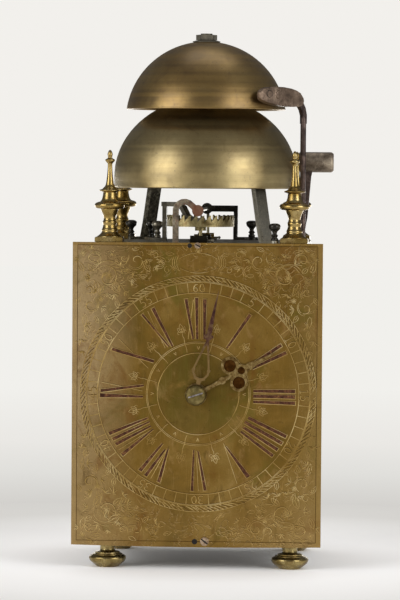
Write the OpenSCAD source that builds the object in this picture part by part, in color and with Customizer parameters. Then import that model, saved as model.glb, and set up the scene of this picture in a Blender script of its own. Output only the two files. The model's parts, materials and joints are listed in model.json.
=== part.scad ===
/* [Frame] */
// Width of the bottom and top plates
plate_w = 150; // [149:0.5:156]
// Depth of the bottom and top plates
plate_d = 140; // [126:0.5:156]
// Thickness of the bottom plate
bottom_plate_t = 3.5; // [3:0.1:5]
// Thickness of the top plate
top_plate_t = 3; // [2.5:0.1:4.5]
// Height between the two plates
frame_h = 204.7; // [203:0.1:212]
// Distance of the corner posts from the middle, sideways
post_x = 64.5; // [62:0.1:65]
// Distance of the corner posts from the plates' front and back edges
post_inset = 12; // [11:0.1:16]
// Radius of a pillar's shaft
pillar_r = 4.6; // [3.5:0.1:6]
// Side of the square blocks at a pillar's ends
pillar_block = 13; // [11:0.1:14]
// Height of those blocks
pillar_block_h = 14; // [8:0.5:24]
// Radius of the studs that hold feet and finials
stud_r = 2.4; // [1.5:0.1:3]
// Height of a foot
foot_h = 18; // [16.5:0.5:24]
// Side of a finial's square base
plinth_w = 19.6; // [16:0.1:20]
// Height of a finial's square base
plinth_h = 3.8; // [2:0.1:6]

/* [Dial] */
// Width of the dial plate
dial_w = 175.5; // [165:0.5:185]
// How far the dial plate stands above the top plate
dial_over = 0.3; // [0.1:0.05:2]
// Thickness of the dial plate
dial_t = 2; // [1:0.1:3]
// How far the dial plate's middle lies from the frame's middle, sideways
dial_x = -1.5; // [-6:0.1:2]
// How far the dial plate's lower corners lie under the bottom plate's top
dial_drop = 5; // [3:0.1:6]
// How far the dial plate's lower edge bows down
dial_bow = 1; // [0.2:0.1:2.5]
// Radius of the upper dial screw's head
top_screw_r = 2.1; // [1.6:0.1:2.8]
// Radius of the lower dial screw's head
low_screw_r = 3; // [2:0.1:3.4]
// Radius of the dial screws' shanks
dial_screw_r = 1; // [0.6:0.05:1.2]

/* [Hands] */
// Length of the hour hand from its axis
hour_hand_l = 66; // [58:0.5:70]
// Length of the minute hand from its axis
minute_hand_l = 76.5; // [70:0.5:82]
// Thickness of the hands
hand_t = 1.1; // [0.8:0.1:1.4]
// Clockwise angle of the hour hand from twelve
hour_angle = 61.5; // [0:0.5:360]
// Clockwise angle of the minute hand from twelve
minute_angle = 12; // [0:0.5:360]
// Radius of the hand nut
nut_r = 7.35; // [6:0.05:9]
// Height of the hand nut's dome
nut_h = 4.6; // [3:0.1:6]

/* [Bells] */
// Radius of the lower bell at its rim
low_bell_r = 65.7; // [63:0.1:67]
// Height of the lower bell's rim above the top plate
low_bell_rise = 38.2; // [34:0.1:44]
// Straight height of the lower bell's skirt
low_bell_skirt = 8.3; // [2:0.1:14]
// Height of the lower bell's dome above its skirt
low_bell_dome = 56.9; // [52:0.1:60]
// Greatest radius of the upper bell's dome
up_bell_r = 57.8; // [54:0.1:60]
// Height of the upper bell's dome from its full circle
up_bell_dome = 56.9; // [53:0.1:60]
// How far above that circle the upper bell's rim is cut
up_bell_cut = 7.8; // [1:0.1:12]
// Height of the upper bell's rim above the lower bell's
bell_step = 56.3; // [52:0.1:60]
// Thickness of the bells
bell_wall = 3; // [2:0.1:3.6]
// Radius of the stud that carries the bells
bell_stud_r = 4.2; // [3:0.1:5]
// Radius of the spacer between the bells
spacer_r = 6.4; // [6:0.1:9]
// Radius of the washer on the upper bell
bell_washer_r = 10; // [8:0.1:14]
// Thickness of that washer
bell_washer_t = 1.5; // [1:0.1:3]
// Width of the bell nut across its flats
bell_nut_w = 13.3; // [11:0.1:16]
// Thickness of the bell nut
bell_nut_t = 3.8; // [2:0.1:6]

/* [Bell strap] */
// Width of the strap
strap_w = 9.5; // [6:0.1:12]
// Thickness of the strap
strap_t = 4.5; // [3:0.1:5]
// Distance of the strap's feet from the bells' axis, sideways
strap_foot_x = 45.7; // [44:0.1:47]
// How far the strap's feet stand nearer the middle than the posts, front to back
strap_inset = 9; // [8:0.1:11]
// How far the strap stands inside the lower bell's rim
strap_gap = 2.4; // [2:0.1:5]
// Thickness of the turned-out feet of the strap and the cocks
flange_t = 2; // [1.5:0.1:3]

/* [Train] */
// How far the clock train's middle lies from the frame's middle, sideways
train_x = -1.8; // [-5:0.1:0]
// Height of the hands' axis above the bottom plate's top
centre_rise = 101.7; // [99:0.1:105]
// Width of a movement bar
bar_w = 24; // [20:0.5:30]
// Thickness of a movement bar
bar_t = 3; // [2.6:0.1:3.6]
// Distance of the front movement bar from the dial plate
front_room = 14; // [13.4:0.1:14.6]
// Front face of the middle movement bar
middle_bar_y = -4; // [-4.3:0.1:-3.7]
// Distance of the rear movement bar's front face from the plates' back edges
rear_room = 22; // [20:0.1:22.4]
// Size of the great wheels' teeth, as pitch diameter a tooth
great_m = 1.3333; // [1.30:0.0001:1.3333]
// Size of the centre wheel's teeth
centre_m = 0.8; // [0.78:0.001:0.82]
// Size of the hoop wheel's teeth
hoop_m = 0.9; // [0.86:0.001:0.92]
// Size of the warning wheel's teeth
warning_m = 0.8; // [0.78:0.001:0.84]
// Size of the count wheel's teeth
count_m = 0.7; // [0.68:0.001:0.72]
// Distance of the minute wheel's stud from the hands' axis
motion_d = 28.8; // [28:0.1:30]
// Radius of the contrate wheel's middle tooth line
contrate_r = 24; // [23:0.1:24.6]
// Radius of the thinner arbors
arbor_r = 1.5; // [1.2:0.05:1.8]
// Radius of the great wheels' arbors
great_arbor_r = 2.4; // [2:0.05:2.6]
// Radius of a pivot
pivot_r = 0.8; // [0.5:0.05:0.95]
// Clearance round a running pivot
run_gap = 0.15; // [0.1:0.01:0.25]
// Radius of a rope pulley's flanges
pulley_r = 19; // [16:0.1:20]
// Radius of the circle of hammer pins
pin_circle_r = 36; // [34:0.1:37]
// Radius of a hammer pin
hammer_pin_r = 1.2; // [0.8:0.05:1.6]
// Clearance of a tail, pallet or detent from what it works on
work_gap = 0.35; // [0.3:0.05:0.6]

/* [Escapement] */
// Radius of the crown wheel
crown_r = 24; // [22:0.1:24.4]
// Height of the crown wheel's floor above the top plate
crown_rise = 11.1; // [10:0.1:13]
// Height of the crown wheel with its teeth
crown_h = 8.1; // [6.5:0.1:9]
// Height of the verge above the crown wheel's teeth
verge_rise = 3.6; // [3.3:0.1:5]
// Front to back place of the crown wheel's arbor
crown_y = -30; // [-30.3:0.05:-29.8]
// Radius of the verge
verge_r = 1.4; // [1:0.05:1.6]
// Length of the pendulum from the verge to the bob's middle
pendulum_l = 190; // [170:1:200]
// How far the pendulum hangs behind the plates' back edges
pendulum_room = 6.6; // [6.2:0.1:9]
// Radius of the pendulum bob
bob_r = 13; // [9:0.1:16]
// Thickness of the pendulum bob
bob_t = 14; // [8:0.1:14.4]

/* [Hammers] */
// Clearance of a resting hammer from its bell
hammer_gap = 1.5; // [1:0.1:3]
// Radius of the lower hammer's head
low_head_r = 7.3; // [5:0.1:8]
// Length of the lower hammer's head
low_head_l = 25; // [16:0.1:30]
// Height of the lower hammer's head above the top plate
low_head_rise = 57.4; // [50:0.1:60]
// Front to back place of the lower hammer
low_hammer_y = 5; // [4.6:0.1:5.4]
// Radius of the upper hammer's rod above the top plate
rod_r = 2.05; // [1.7:0.05:2.2]
// Sideways place of the upper hammer's rod
rod_x = 70.4; // [70:0.05:70.6]
// Front to back place of the upper hammer's rod
rod_y = -14; // [-15:0.1:-13.5]
// Height of the upper hammer's head above the top plate
up_head_rise = 103.8; // [100:0.1:108]

/* [Doors] */
// Thickness of the side doors and the back plate
sheet_t = 1.2; // [0.8:0.1:1.3]
// Clearance round a door
door_gap = 0.3; // [0.2:0.05:0.6]
// Distance of the doors' middles from the frame's middle
door_x = 73.4; // [73.2:0.05:73.6]

/* [Hidden] */
$fn = 64;

brass = [0.66, 0.52, 0.26];
dark_brass = [0.48, 0.38, 0.18];
bell_metal = [0.58, 0.51, 0.34];
iron = [0.45, 0.43, 0.39];
dark_iron = [0.14, 0.13, 0.12];
brown_iron = [0.31, 0.25, 0.23];
steel = [0.62, 0.63, 0.64];

// Heights and the dial's planes
floor_z = foot_h + bottom_plate_t;
ceil_z = floor_z + frame_h;
deck_z = ceil_z + top_plate_t;
dial_back_y = -plate_d / 2;
dial_front_y = dial_back_y - dial_t;
dial_h = dial_drop + frame_h + top_plate_t + dial_over;
post_y = plate_d / 2 - post_inset;
front_bar_y = dial_back_y + front_room;
rear_bar_y = plate_d / 2 - rear_room;
pendulum_y = plate_d / 2 + pendulum_room;

// Arbor heights, each a mesh away from the one before
centre_z = floor_z + centre_rise;
great_teeth = 64;
great_leaves = 8;
centre_teeth = 84;
contrate_leaves = 7;
contrate_teeth = 66;
crown_leaves = 6;
crown_teeth = 31;
hoop_teeth = 60;
warning_leaves = 6;
warning_teeth = 50;
fly_leaves = 6;
report_leaves = 8;
count_teeth = 78;
cannon_teeth = 24;
minute_teeth = 48;
minute_leaves = 8;
hour_teeth = 48;
great_z = centre_z - great_m * (great_teeth + great_leaves) / 2;
contrate_z = centre_z + centre_m * (centre_teeth + contrate_leaves) / 2;
warning_z = centre_z + hoop_m * (hoop_teeth + warning_leaves) / 2;
fly_z = warning_z + warning_m * (warning_teeth + fly_leaves) / 2;
count_z = great_z + count_m * (count_teeth + report_leaves) / 2;
cannon_m = 2 * motion_d / (cannon_teeth + minute_teeth);
hour_m = 2 * motion_d / (hour_teeth + minute_leaves);
minute_z = centre_z - motion_d;
contrate_m = 2 * contrate_r / contrate_teeth;

// Front and back faces of the two bays between the movement bars
front_bay = [front_bar_y + bar_t, middle_bar_y];
rear_bay = [middle_bar_y + bar_t, rear_bar_y];
pivot_l = bar_t / 2 - run_gap;

// Shares of a module above and below the pitch line, and of a pitch at a tooth's foot and tip
wheel_add = 0.9;
wheel_ded = 0.75;
wheel_foot = 0.24;
wheel_tip = 0.09;
leaf_add = 0.5;
leaf_ded = 1.1;
leaf_foot = 0.15;
leaf_tip = 0.12;

// Bells, from their own rims up
low_rim_z = deck_z + low_bell_rise;
up_rim_z = low_rim_z + bell_step;
crown_flat = 0.6;
low_crown_z = low_rim_z + low_bell_skirt + low_bell_dome - crown_flat;
low_seat_z = low_crown_z - bell_wall;
up_centre_z = up_rim_z - up_bell_cut;
up_crown_z = up_centre_z + up_bell_dome - crown_flat;
stud_gap = 0.2;
stud_end = 0.9;
stud_top_z = up_crown_z + bell_washer_t + bell_nut_t + stud_end;

// Escapement heights above the top plate
crown_z = deck_z + crown_rise;
crown_top_z = crown_z + crown_h;
verge_z = crown_top_z + verge_rise;
front_boss_y = dial_back_y + 0.3;
boss_t = 3.5;
rear_eye_y = post_y + 2;

// Hammers
low_pivot = [60, ceil_z - 12];
low_head_z = deck_z + low_head_rise;
up_head_z = deck_z + up_head_rise;
lever_x = train_x - 39;
detent_z = centre_z + 27;
lifting_z = centre_z - 11;

// Places and small sizes that pieces share
strap_foot = [strap_foot_x, strap_inset - post_y];
strap_foot_r = norm(strap_foot);
strap_turn = -atan2(strap_foot[1], strap_foot[0]);
knob_a = [52, -post_y - 4];
knob_b = [-56.6, post_y - 14];
knob_c = [31.5, post_y - 3];
knob_d = [-35, 8];
knob_e = [-41.5, 30];
knob_shank_r = 1.5;
flange_end_r = 2.5;
cock_tenon = [train_x - 15.5, front_boss_y + boss_t / 2];
cock_tenon_r = 1.5;
arm_slot_x = 64;
arm_slot_w = 7;
tongue_w = 14;
tongue_x = 45;
tenon_w = 12;
tenon_rise = 5;
pin_rise = 1.6;
bar_pin_r = 0.8;
back_y = plate_d / 2 - 3.4;
door_pin_y = post_y + 2;
door_pin_r = 0.55;
door_pin_l = 2;
rope_hole_r = 4.5;
going_pulley = [front_bay[1] - 33, front_bay[1] - 18];
strike_pulley = [rear_bay[0] + 19, rear_bay[0] + 34];
pillar_stud_l = 9;
dial_screw_l = 6;
screw_head_t = 1.2;
top_screw_x = dial_x;
top_screw_z = ceil_z + top_plate_t / 2;
low_screw_x = dial_x + 6.3;
low_screw_z = foot_h + bottom_plate_t / 2;
hour_pipe_r = 5;
cannon_y = front_bar_y - 8.5;
cannon_t = 2;
hour_wheel_y = dial_back_y + 1.3;
hour_wheel_t = 1.5;
hour_hand_y = dial_front_y - 1.6;
minute_hand_y = hour_hand_y - hand_t - 2.6;
nut_y = minute_hand_y - hand_t - 0.6;
cannon_pipe_r = 3.2;
centre_arbor_r = 1.9;
strap_in_r = low_bell_r - bell_wall - strap_gap - strap_t / 2;
collar_h = 2.6;
arch_h = low_seat_z - collar_h - strap_t / 2 - low_rim_z;
knob_r = 4.15;
knob_h = 12.2;
bracket_x = train_x - 27;
bracket_y = -8;
nose_t = 3.2;
nose_low_z = crown_top_z - 5.2;
potence_z = contrate_z + 6.4;
potence_t = 3.5;
crown_leaf_r = crown_leaves * contrate_m / 2;
pallet_l = verge_rise - work_gap;
bob_z = verge_z - pendulum_l;
rod_thread_r = 1.1;
rod_shank_r = 1.5;
up_tail_z = great_z;
strike_wheel_y = rear_bay[0] + 9;
pins_front_y = strike_wheel_y - 5;
great_t = 3;
report_arbor_r = 1.9;
spring_x = 58;
spring_y = rod_y - 5.4;
up_tip_dir = unit([35, -42]);
up_tip = up_tip_dir * (up_bell_at(up_head_z - 5) + hammer_gap + 4);
tail_a = 60;
leaf_x = low_pivot[0] - 22;
arm_t = 5.4;
arm_widths = [5, 3.6, 4, 4.2, 4.4, 4.8, 6];
low_face_x = low_bell_at(low_head_z - low_head_r) + hammer_gap;
head_bottom_z = low_head_z - low_head_r;
arm = [low_pivot, [65.6, ceil_z - 3], [69.2, deck_z + 4], [71.6, deck_z + 19], [72.6, deck_z + 33],
  [73.6, head_bottom_z - 3], [74, head_bottom_z + 1.5]];
click_r = 31;
click_turn = 20;
ratchet_r = 22.5;
ratchet_t = 2.2;
going_wheel_y = front_bay[1] - 13;
centre_y = front_bay[1] - 7.5;
contrate_y = crown_y + 5.5;
hoop_y = rear_bay[0] + 20;
hoop_r = 20;
nose_a = 100;
lift_a = 115;
stop_a = 260;
warning_y = hoop_y + 9;
warning_pin_r = 18.1;
motion_pin_r = 17.3;
count_y = rear_bar_y + bar_t + 1;
count_notch_r = 24;

function unit(v) = v / norm(v);
function side_of(v) = [-v[1], v[0]];
function path_side(path, i) =
  side_of(unit(path[min(i + 1, len(path) - 1)] - path[max(i - 1, 0)]));

// Outline of a strip that follows a path, with its own width at each point
function tapered_strip(path, widths) = concat(
  [for (i = [0:len(path) - 1]) path[i] + path_side(path, i) * widths[i] / 2],
  [for (i = [len(path) - 1:-1:0]) path[i] - path_side(path, i) * widths[i] / 2]);
function strip(path, width) = tapered_strip(path, [for (p = path) width]);
function arc(centre, r, from, to, steps) =
  [for (i = [0:steps]) let (a = from + (to - from) * i / steps) centre + r * [cos(a), sin(a)]];

// Outline of a gear: root radius, tip radius, and half widths there as shares of a pitch
function gear_outline(n, low, high, foot, tip) =
  [for (i = [0:n - 1], c = [[low, -foot], [high, -tip], [high, tip], [low, foot]])
    c[0] * [cos((i + c[1]) * 360 / n), sin((i + c[1]) * 360 / n)]];

module wheel_outline(n, m) {
  r = n * m / 2;
  polygon(gear_outline(n, r - wheel_ded * m, r + wheel_add * m, wheel_foot, wheel_tip));
}

module leaf_outline(n, m) {
  r = n * m / 2;
  polygon(gear_outline(n, r - leaf_ded * m, r + leaf_add * m, leaf_foot, leaf_tip));
}

// A wheel with its rim crossed out, seen from the front
module crossed_wheel(n, m, rim, hub_r, arms, arm_w) {
  inside_r = n * m / 2 - wheel_ded * m - rim;
  difference() {
    wheel_outline(n, m);
    crossings(inside_r, hub_r, arms, arm_w);
  }
}

module crossings(inside_r, hub_r, arms, arm_w) {
  difference() {
    circle(inside_r);
    circle(hub_r);
    for (i = [0:arms - 1])
      rotate(360 / arms * i + 20) translate([0, -arm_w / 2]) square([inside_r + 1, arm_w]);
  }
}

// Draws its children's outline as a slab between two planes across the clock's depth
module slab_y(x, z, y_front, y_back) {
  translate([x, y_back, z]) rotate([90, 0, 0]) linear_extrude(y_back - y_front) children();
}

module rod_y(x, z, y_front, y_back, r) {
  translate([x, y_back, z]) rotate([90, 0, 0]) cylinder(r=r, h=y_back - y_front);
}

module tube_y(x, z, y_front, y_back, r, bore_r) {
  difference() {
    rod_y(x, z, y_front, y_back, r);
    rod_y(x, z, y_front - 1, y_back + 1, bore_r);
  }
}

// An arbor between two bars, with a pivot in each
module arbor_between(x, z, bay, r) {
  rod_y(x, z, bay[0] + run_gap, bay[1] - run_gap, r);
  rod_y(x, z, bay[0] - pivot_l, bay[0] + run_gap + 1, pivot_r);
  rod_y(x, z, bay[1] - run_gap - 1, bay[1] + pivot_l, pivot_r);
}

module turned(profile) {
  rotate_extrude() polygon(profile);
}

module at_posts() {
  for (sx = [-1, 1], sy = [-1, 1]) translate([sx * post_x, sy * post_y, 0]) children();
}

module knob_holes() {
  for (p = [knob_a, knob_b, knob_c, knob_d, knob_e])
    translate([p[0], p[1], 0]) circle(knob_shank_r + 0.1);
}

module plate_outline(w, d) {
  translate([-w / 2, -d / 2]) square([w, d]);
}

module bar_slots() {
  for (y = [front_bar_y, middle_bar_y, rear_bar_y])
    translate([train_x - tenon_w / 2 - 0.1, y - 0.1]) square([tenon_w + 0.2, bar_t + 0.2]);
}

module tongue_slots() {
  for (sx = [-1, 1])
    translate([sx * tongue_x - tongue_w / 2 - 0.15, back_y - 0.15])
      square([tongue_w + 0.3, sheet_t + 0.3]);
}

module door_pin_holes() {
  for (sx = [-1, 1]) translate([sx * door_x, door_pin_y]) circle(door_pin_r + run_gap);
}

// The bottom plate has two rope holes for each pulley, under the sides of its groove
module bottom_plate() {
  color(dark_brass) difference() {
    translate([0, 0, foot_h]) linear_extrude(bottom_plate_t) difference() {
      plate_outline(plate_w, plate_d);
      at_posts() circle(stud_r + 0.1);
      bar_slots();
      tongue_slots();
      for (sx = [-1, 1], p = [going_pulley, strike_pulley])
        translate([train_x + sx * (pulley_r - 4.5), (p[0] + p[1]) / 2]) circle(rope_hole_r);
      translate([rod_x, rod_y]) circle(pivot_r + run_gap);
      translate([spring_x, spring_y]) circle(1.1);
    }
    translate([0, 0, floor_z - door_pin_l - 0.2]) linear_extrude(door_pin_l + 1) door_pin_holes();
    rod_y(low_screw_x, low_screw_z, dial_back_y - 1, dial_back_y + dial_screw_l + 0.5, dial_screw_r + 0.05);
  }
}

module top_plate() {
  color(iron) difference() {
    translate([0, 0, ceil_z]) linear_extrude(top_plate_t) difference() {
      plate_outline(plate_w, plate_d);
      at_posts() circle(stud_r + 0.1);
      bar_slots();
      tongue_slots();
      knob_holes();
      translate(cock_tenon) circle(cock_tenon_r + 0.05);
      translate([train_x, crown_y]) circle(4);
      translate([rod_x, rod_y]) circle(rod_shank_r + run_gap);
      translate([arm_slot_x, low_hammer_y - arm_slot_w / 2]) square([plate_w, arm_slot_w]);
      translate([leaf_x, low_hammer_y]) circle(1.1);
    }
    translate([0, 0, ceil_z - 1]) linear_extrude(door_pin_l + 1.2) door_pin_holes();
    rod_y(top_screw_x, top_screw_z, dial_back_y - 1, dial_back_y + dial_screw_l + 0.5, dial_screw_r + 0.05);
  }
}

module pillars() {
  shaft_h = frame_h - 2 * pillar_block_h;
  bead = pillar_r + 1.6;
  color(brass) at_posts() difference() {
    union() {
      for (z = [floor_z, ceil_z - pillar_block_h])
        translate([-pillar_block / 2, -pillar_block / 2, z])
          cube([pillar_block, pillar_block, pillar_block_h]);
      translate([0, 0, floor_z + pillar_block_h]) turned([
        [0, 0], [pillar_r + 1, 0], [pillar_r + 1, 2], [pillar_r, 3], [pillar_r, 8], [bead, 10],
        [pillar_r, 12], [pillar_r * 1.05, shaft_h / 2], [pillar_r, shaft_h - 12],
        [bead, shaft_h - 10], [pillar_r, shaft_h - 8], [pillar_r, shaft_h - 3],
        [pillar_r + 1, shaft_h - 2], [pillar_r + 1, shaft_h], [0, shaft_h]]);
    }
    translate([0, 0, floor_z - 1]) cylinder(r=stud_r + 0.1, h=pillar_stud_l + 1.5);
    translate([0, 0, ceil_z - pillar_stud_l - 0.5]) cylinder(r=stud_r + 0.1, h=pillar_stud_l + 1);
  }
}

module feet() {
  neck_z = foot_h - 4.7;
  color(dark_brass) at_posts() {
    turned([[0, 0], [7.7, 0], [9.4, 1.6], [11.9, 3.6], [13, 5.4], [13.1, 6.4], [12.6, 7.6],
      [10.6, 8.6], [10.4, 9], [8.8, 9.4], [8.8, 10.4], [6.2, 11], [5.3, 11.6], [5.3, neck_z + 1.7],
      [6.6, neck_z + 2.9], [6.6, foot_h], [0, foot_h]]);
    cylinder(r=stud_r, h=floor_z + pillar_stud_l);
  }
}

module finials() {
  body_z = deck_z + plinth_h - 3.2;
  color(brass) at_posts() {
    translate([-plinth_w / 2, -plinth_w / 2, deck_z]) cube([plinth_w, plinth_w, plinth_h]);
    translate([0, 0, body_z]) turned([[0, 2], [8.7, 2], [8.7, 4.5], [7, 5.4], [5.8, 7], [5.4, 7.9],
      [5.7, 8.9], [5, 10.2], [4.6, 11.9], [4.9, 13.4], [4.9, 14.9], [4.2, 16.8], [4.5, 19], [5.7, 21.8],
      [6.4, 23.5], [8.8, 23.9], [10.3, 24.9], [10.6, 26.2], [10.1, 27.5], [8.6, 28.4], [6.9, 28.7],
      [5.6, 30.4], [5, 32.7], [4.7, 35], [5.6, 35.9], [7.4, 36.4], [7.4, 37], [5.4, 37.6], [4.7, 38.4],
      [3.5, 39.6], [2.7, 41.6], [2.1, 46.5], [1.7, 51.5], [1.6, 55], [1.9, 55.9], [3.3, 57.6],
      [3.5, 58], [2.4, 58.9], [1.5, 59.7], [1.8, 61.9], [1.4, 63.6], [0, 65.3]]);
    translate([0, 0, ceil_z - pillar_stud_l])
      cylinder(r=stud_r, h=top_plate_t + pillar_stud_l + 1);
  }
}

module back_plate() {
  w = 2 * (door_x - sheet_t) - 2;
  color(dark_brass) {
    translate([-w / 2, back_y, floor_z]) cube([w, sheet_t, frame_h]);
    for (sx = [-1, 1])
      translate([sx * tongue_x - tongue_w / 2, back_y, foot_h])
        cube([tongue_w, sheet_t, bottom_plate_t + frame_h + top_plate_t]);
  }
}

// A side door with its two pins, standing on the right
module side_door() {
  door_h = frame_h - 2 * door_gap;
  front_y = -plate_d / 2 + 4;
  translate([door_x - sheet_t / 2, front_y, floor_z + door_gap])
    cube([sheet_t, door_pin_y + 2 - front_y, door_h]);
  translate([door_x, door_pin_y, floor_z - door_pin_l])
    cylinder(r=door_pin_r, h=frame_h + 2 * door_pin_l);
}

module door_knob() {
  translate([door_x + sheet_t / 2, -plate_d / 2 + 12, centre_z]) rotate([0, 90, 0])
    turned([[0, 0], [2.4, 0], [1.2, 1.2], [1.2, 2.2], [2.6, 3.4], [3, 4.6], [2.4, 5.8], [0, 6.4]]);
}

module left_door() { color(dark_brass) mirror([1, 0, 0]) side_door(); }
module right_door() { color(dark_brass) side_door(); }
module left_door_knob() { color(brass) mirror([1, 0, 0]) door_knob(); }
module right_door_knob() { color(brass) door_knob(); }

// Beside each dial screw's hole lies an empty one
module dial_plate() {
  half = dial_w / 2;
  low = -centre_rise - dial_drop;
  bow_r = (half * half + dial_bow * dial_bow) / (2 * dial_bow);
  bow_a = asin(half / bow_r);
  bow = arc([0, low - dial_bow + bow_r], bow_r, 270 - bow_a, 270 + bow_a, 12);
  top = low + dial_h;
  color(dark_brass) slab_y(dial_x, centre_z, dial_front_y, dial_back_y) difference() {
    polygon(concat(bow, [[half, top], [-half, top]]));
    translate([train_x - dial_x, 0]) circle(hour_pipe_r + 0.5);
    translate([top_screw_x - dial_x, top_screw_z - centre_z]) circle(dial_screw_r + 0.1);
    translate([low_screw_x - dial_x, low_screw_z - centre_z]) circle(dial_screw_r + 0.1);
    translate([top_screw_x - dial_x - 5.6, top_screw_z - centre_z - 0.2]) circle(1.3);
    translate([-0.7, low_screw_z - centre_z - 0.2]) circle(1.75);
  }
}

module dial_screw(x, z, head_r, slot_turn) {
  slot_w = head_r * 0.3;
  difference() {
    rod_y(x, z, dial_front_y - screw_head_t, dial_front_y, head_r);
    translate([x, dial_front_y - screw_head_t, z]) rotate([0, slot_turn, 0])
      cube([3 * head_r, screw_head_t, slot_w], center=true);
  }
  rod_y(x, z, dial_front_y - 0.1, dial_back_y + dial_screw_l, dial_screw_r);
}

module dial_screws() {
  color(steel) {
    dial_screw(top_screw_x, top_screw_z, top_screw_r, 12);
    dial_screw(low_screw_x, low_screw_z, low_screw_r, -30);
  }
}

// Each outline of a hand in turn, as flat metal
module flat_hand(y, turn) {
  for (i = [0:$children - 1])
    slab_y(train_x, centre_z, y - hand_t, y) rotate(-turn) children(i);
}

module ring(x, y, r, width) {
  translate([x, y]) difference() {
    circle(r);
    circle(r - width);
  }
}

module hour_hand() {
  color(steel) difference() {
    flat_hand(hour_hand_y, hour_angle) {
      circle(7.8);
      polygon(tapered_strip([[0, 5], [0, 14], [0, 20], [0, 26]], [3.4, 2.4, 3.2, 2.6]));
      translate([0, 21]) circle(2.6);
      ring(-6.7, 30.5, 6.2, 1.9);
      ring(6.7, 30.5, 6.2, 1.9);
      ring(0, 36, 4.6, 2);
      polygon([[-1.3, 24], [1.3, 24], [1.1, 32], [-1.1, 32]]);
      polygon([[-2, 40], [2, 40], [2.6, 43], [1.5, 48], [0, hour_hand_l], [-1.5, 48], [-2.6, 43]]);
    }
    rod_y(train_x, centre_z, hour_hand_y - 2 * hand_t, hour_hand_y + 1, hour_pipe_r - 0.8);
  }
}

// One side of the minute hand's long loop, from the crescent's horn to the collar
function loop_side(sx) = tapered_strip(
  [[sx * 3.9, 13.2], [sx * 5.2, 15.4], [sx * 5.3, 18.2], [sx * 4.2, 23], [sx * 2.6, 29.5], [sx * 0.7, 37]],
  [1.3, 1.4, 1.4, 1.3, 1.3, 1.5]);

module minute_hand() {
  color([0.28, 0.25, 0.33]) difference() {
    flat_hand(minute_hand_y, minute_angle) {
      circle(6.4);
      polygon(tapered_strip([[0, 5], [0, 11]], [3.2, 3]));
      polygon(tapered_strip(
        [[-4.4, 14.8], [-3.2, 12], [0, 10.8], [3.2, 12], [4.4, 14.8]], [1, 2, 2.8, 2, 1]));
      polygon(loop_side(-1));
      polygon(loop_side(1));
      translate([-5.3, 17.2]) circle(1.2);
      translate([5.3, 18.2]) circle(1.2);
      polygon(tapered_strip([[0, 35.4], [0, 41]], [1.8, 2.2]));
      translate([0, 41.4]) circle(2.4);
      translate([-2.1, 42]) circle(1.2);
      translate([2.1, 42]) circle(1.2);
      polygon([[-1.4, 42], [1.4, 42], [1.7, 46], [1.5, 52], [1.1, 60], [0, minute_hand_l],
        [-1.1, 60], [-1.5, 52], [-1.7, 46]]);
    }
    rod_y(train_x, centre_z, minute_hand_y - 2 * hand_t, minute_hand_y + 1, centre_arbor_r + 0.1);
  }
}

module hand_nut() {
  steps = 8;
  dome = [for (i = [0:steps]) [nut_r * cos(90 / steps * i), 1 + (nut_h - 1) * sin(90 / steps * i)]];
  color(steel) translate([train_x, nut_y, centre_z]) difference() {
    rotate([90, 0, 0]) turned(concat([[0, 0], [nut_r, 0]], dome));
    rotate([90, 0, 0]) translate([0, 0, -1]) cylinder(r=centre_arbor_r + 0.1, h=3.5);
    translate([0, -nut_h, 0]) rotate([0, -18, 0]) cube([3 * nut_r, 2.4, 1.1], center=true);
  }
}

// A bell's outline in half section: skirt, then a quarter ellipse, flat where a washer or collar seats
function bell_side(r, z0, start, dome, cap, steps) =
  [for (i = [0:steps]) let (a = start + (90 - start) * i / steps)
    [max(r * cos(a), bell_stud_r + stud_gap), min(z0 + dome * sin(a), cap)]];

module bell(r, z0, start, dome, rim_z, cap) {
  outside = bell_side(r, z0, start, dome, cap, 22);
  inside = bell_side(r - bell_wall, z0, start, dome - bell_wall, cap - bell_wall, 22);
  rims = [[outside[0][0], rim_z]];
  inner_rims = [[inside[0][0], rim_z]];
  turned(concat(rims, outside, [for (i = [len(inside) - 1:-1:0]) inside[i]], inner_rims));
}

module lower_bell() {
  color(bell_metal)
    bell(low_bell_r, low_rim_z + low_bell_skirt, 0, low_bell_dome, low_rim_z, low_crown_z);
}

module upper_bell() {
  start = asin(up_bell_cut / up_bell_dome) + 0.01;
  color(bell_metal)
    bell(up_bell_r, up_centre_z, start, up_bell_dome, up_rim_z, up_crown_z);
}

module bell_spacer() {
  color(iron) translate([0, 0, low_crown_z]) difference() {
    cylinder(r=spacer_r, h=up_crown_z - bell_wall - low_crown_z);
    translate([0, 0, -1]) cylinder(r=bell_stud_r + stud_gap, h=bell_step + 2);
  }
}

module bell_washer() {
  color(iron) translate([0, 0, up_crown_z]) difference() {
    turned([[0, 0], [bell_washer_r, 0], [bell_washer_r, bell_washer_t * 0.4],
      [bell_washer_r * 0.75, bell_washer_t * 0.85], [bell_washer_r * 0.5, bell_washer_t],
      [0, bell_washer_t]]);
    translate([0, 0, -1]) cylinder(r=bell_stud_r + stud_gap, h=bell_washer_t + 2);
  }
}

module bell_nut() {
  color(iron) translate([0, 0, up_crown_z + bell_washer_t]) difference() {
    rotate(8) cylinder(r=bell_nut_w / 2 / cos(30), h=bell_nut_t, $fn=6);
    translate([0, 0, -1]) cylinder(r=bell_stud_r + 0.05, h=bell_nut_t + 2);
  }
}

// The strap rises from the plate, leans in under the lower bell and closes as an arch inside it
function strap_half() = concat(
  [[strap_foot_r, deck_z]],
  [[(strap_foot_r * 2 + strap_in_r) / 3 - 0.6, deck_z + low_bell_rise * 0.35]],
  [for (a = [0:9:81]) [strap_in_r * cos(a), low_rim_z + arch_h * sin(a)]]);

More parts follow.
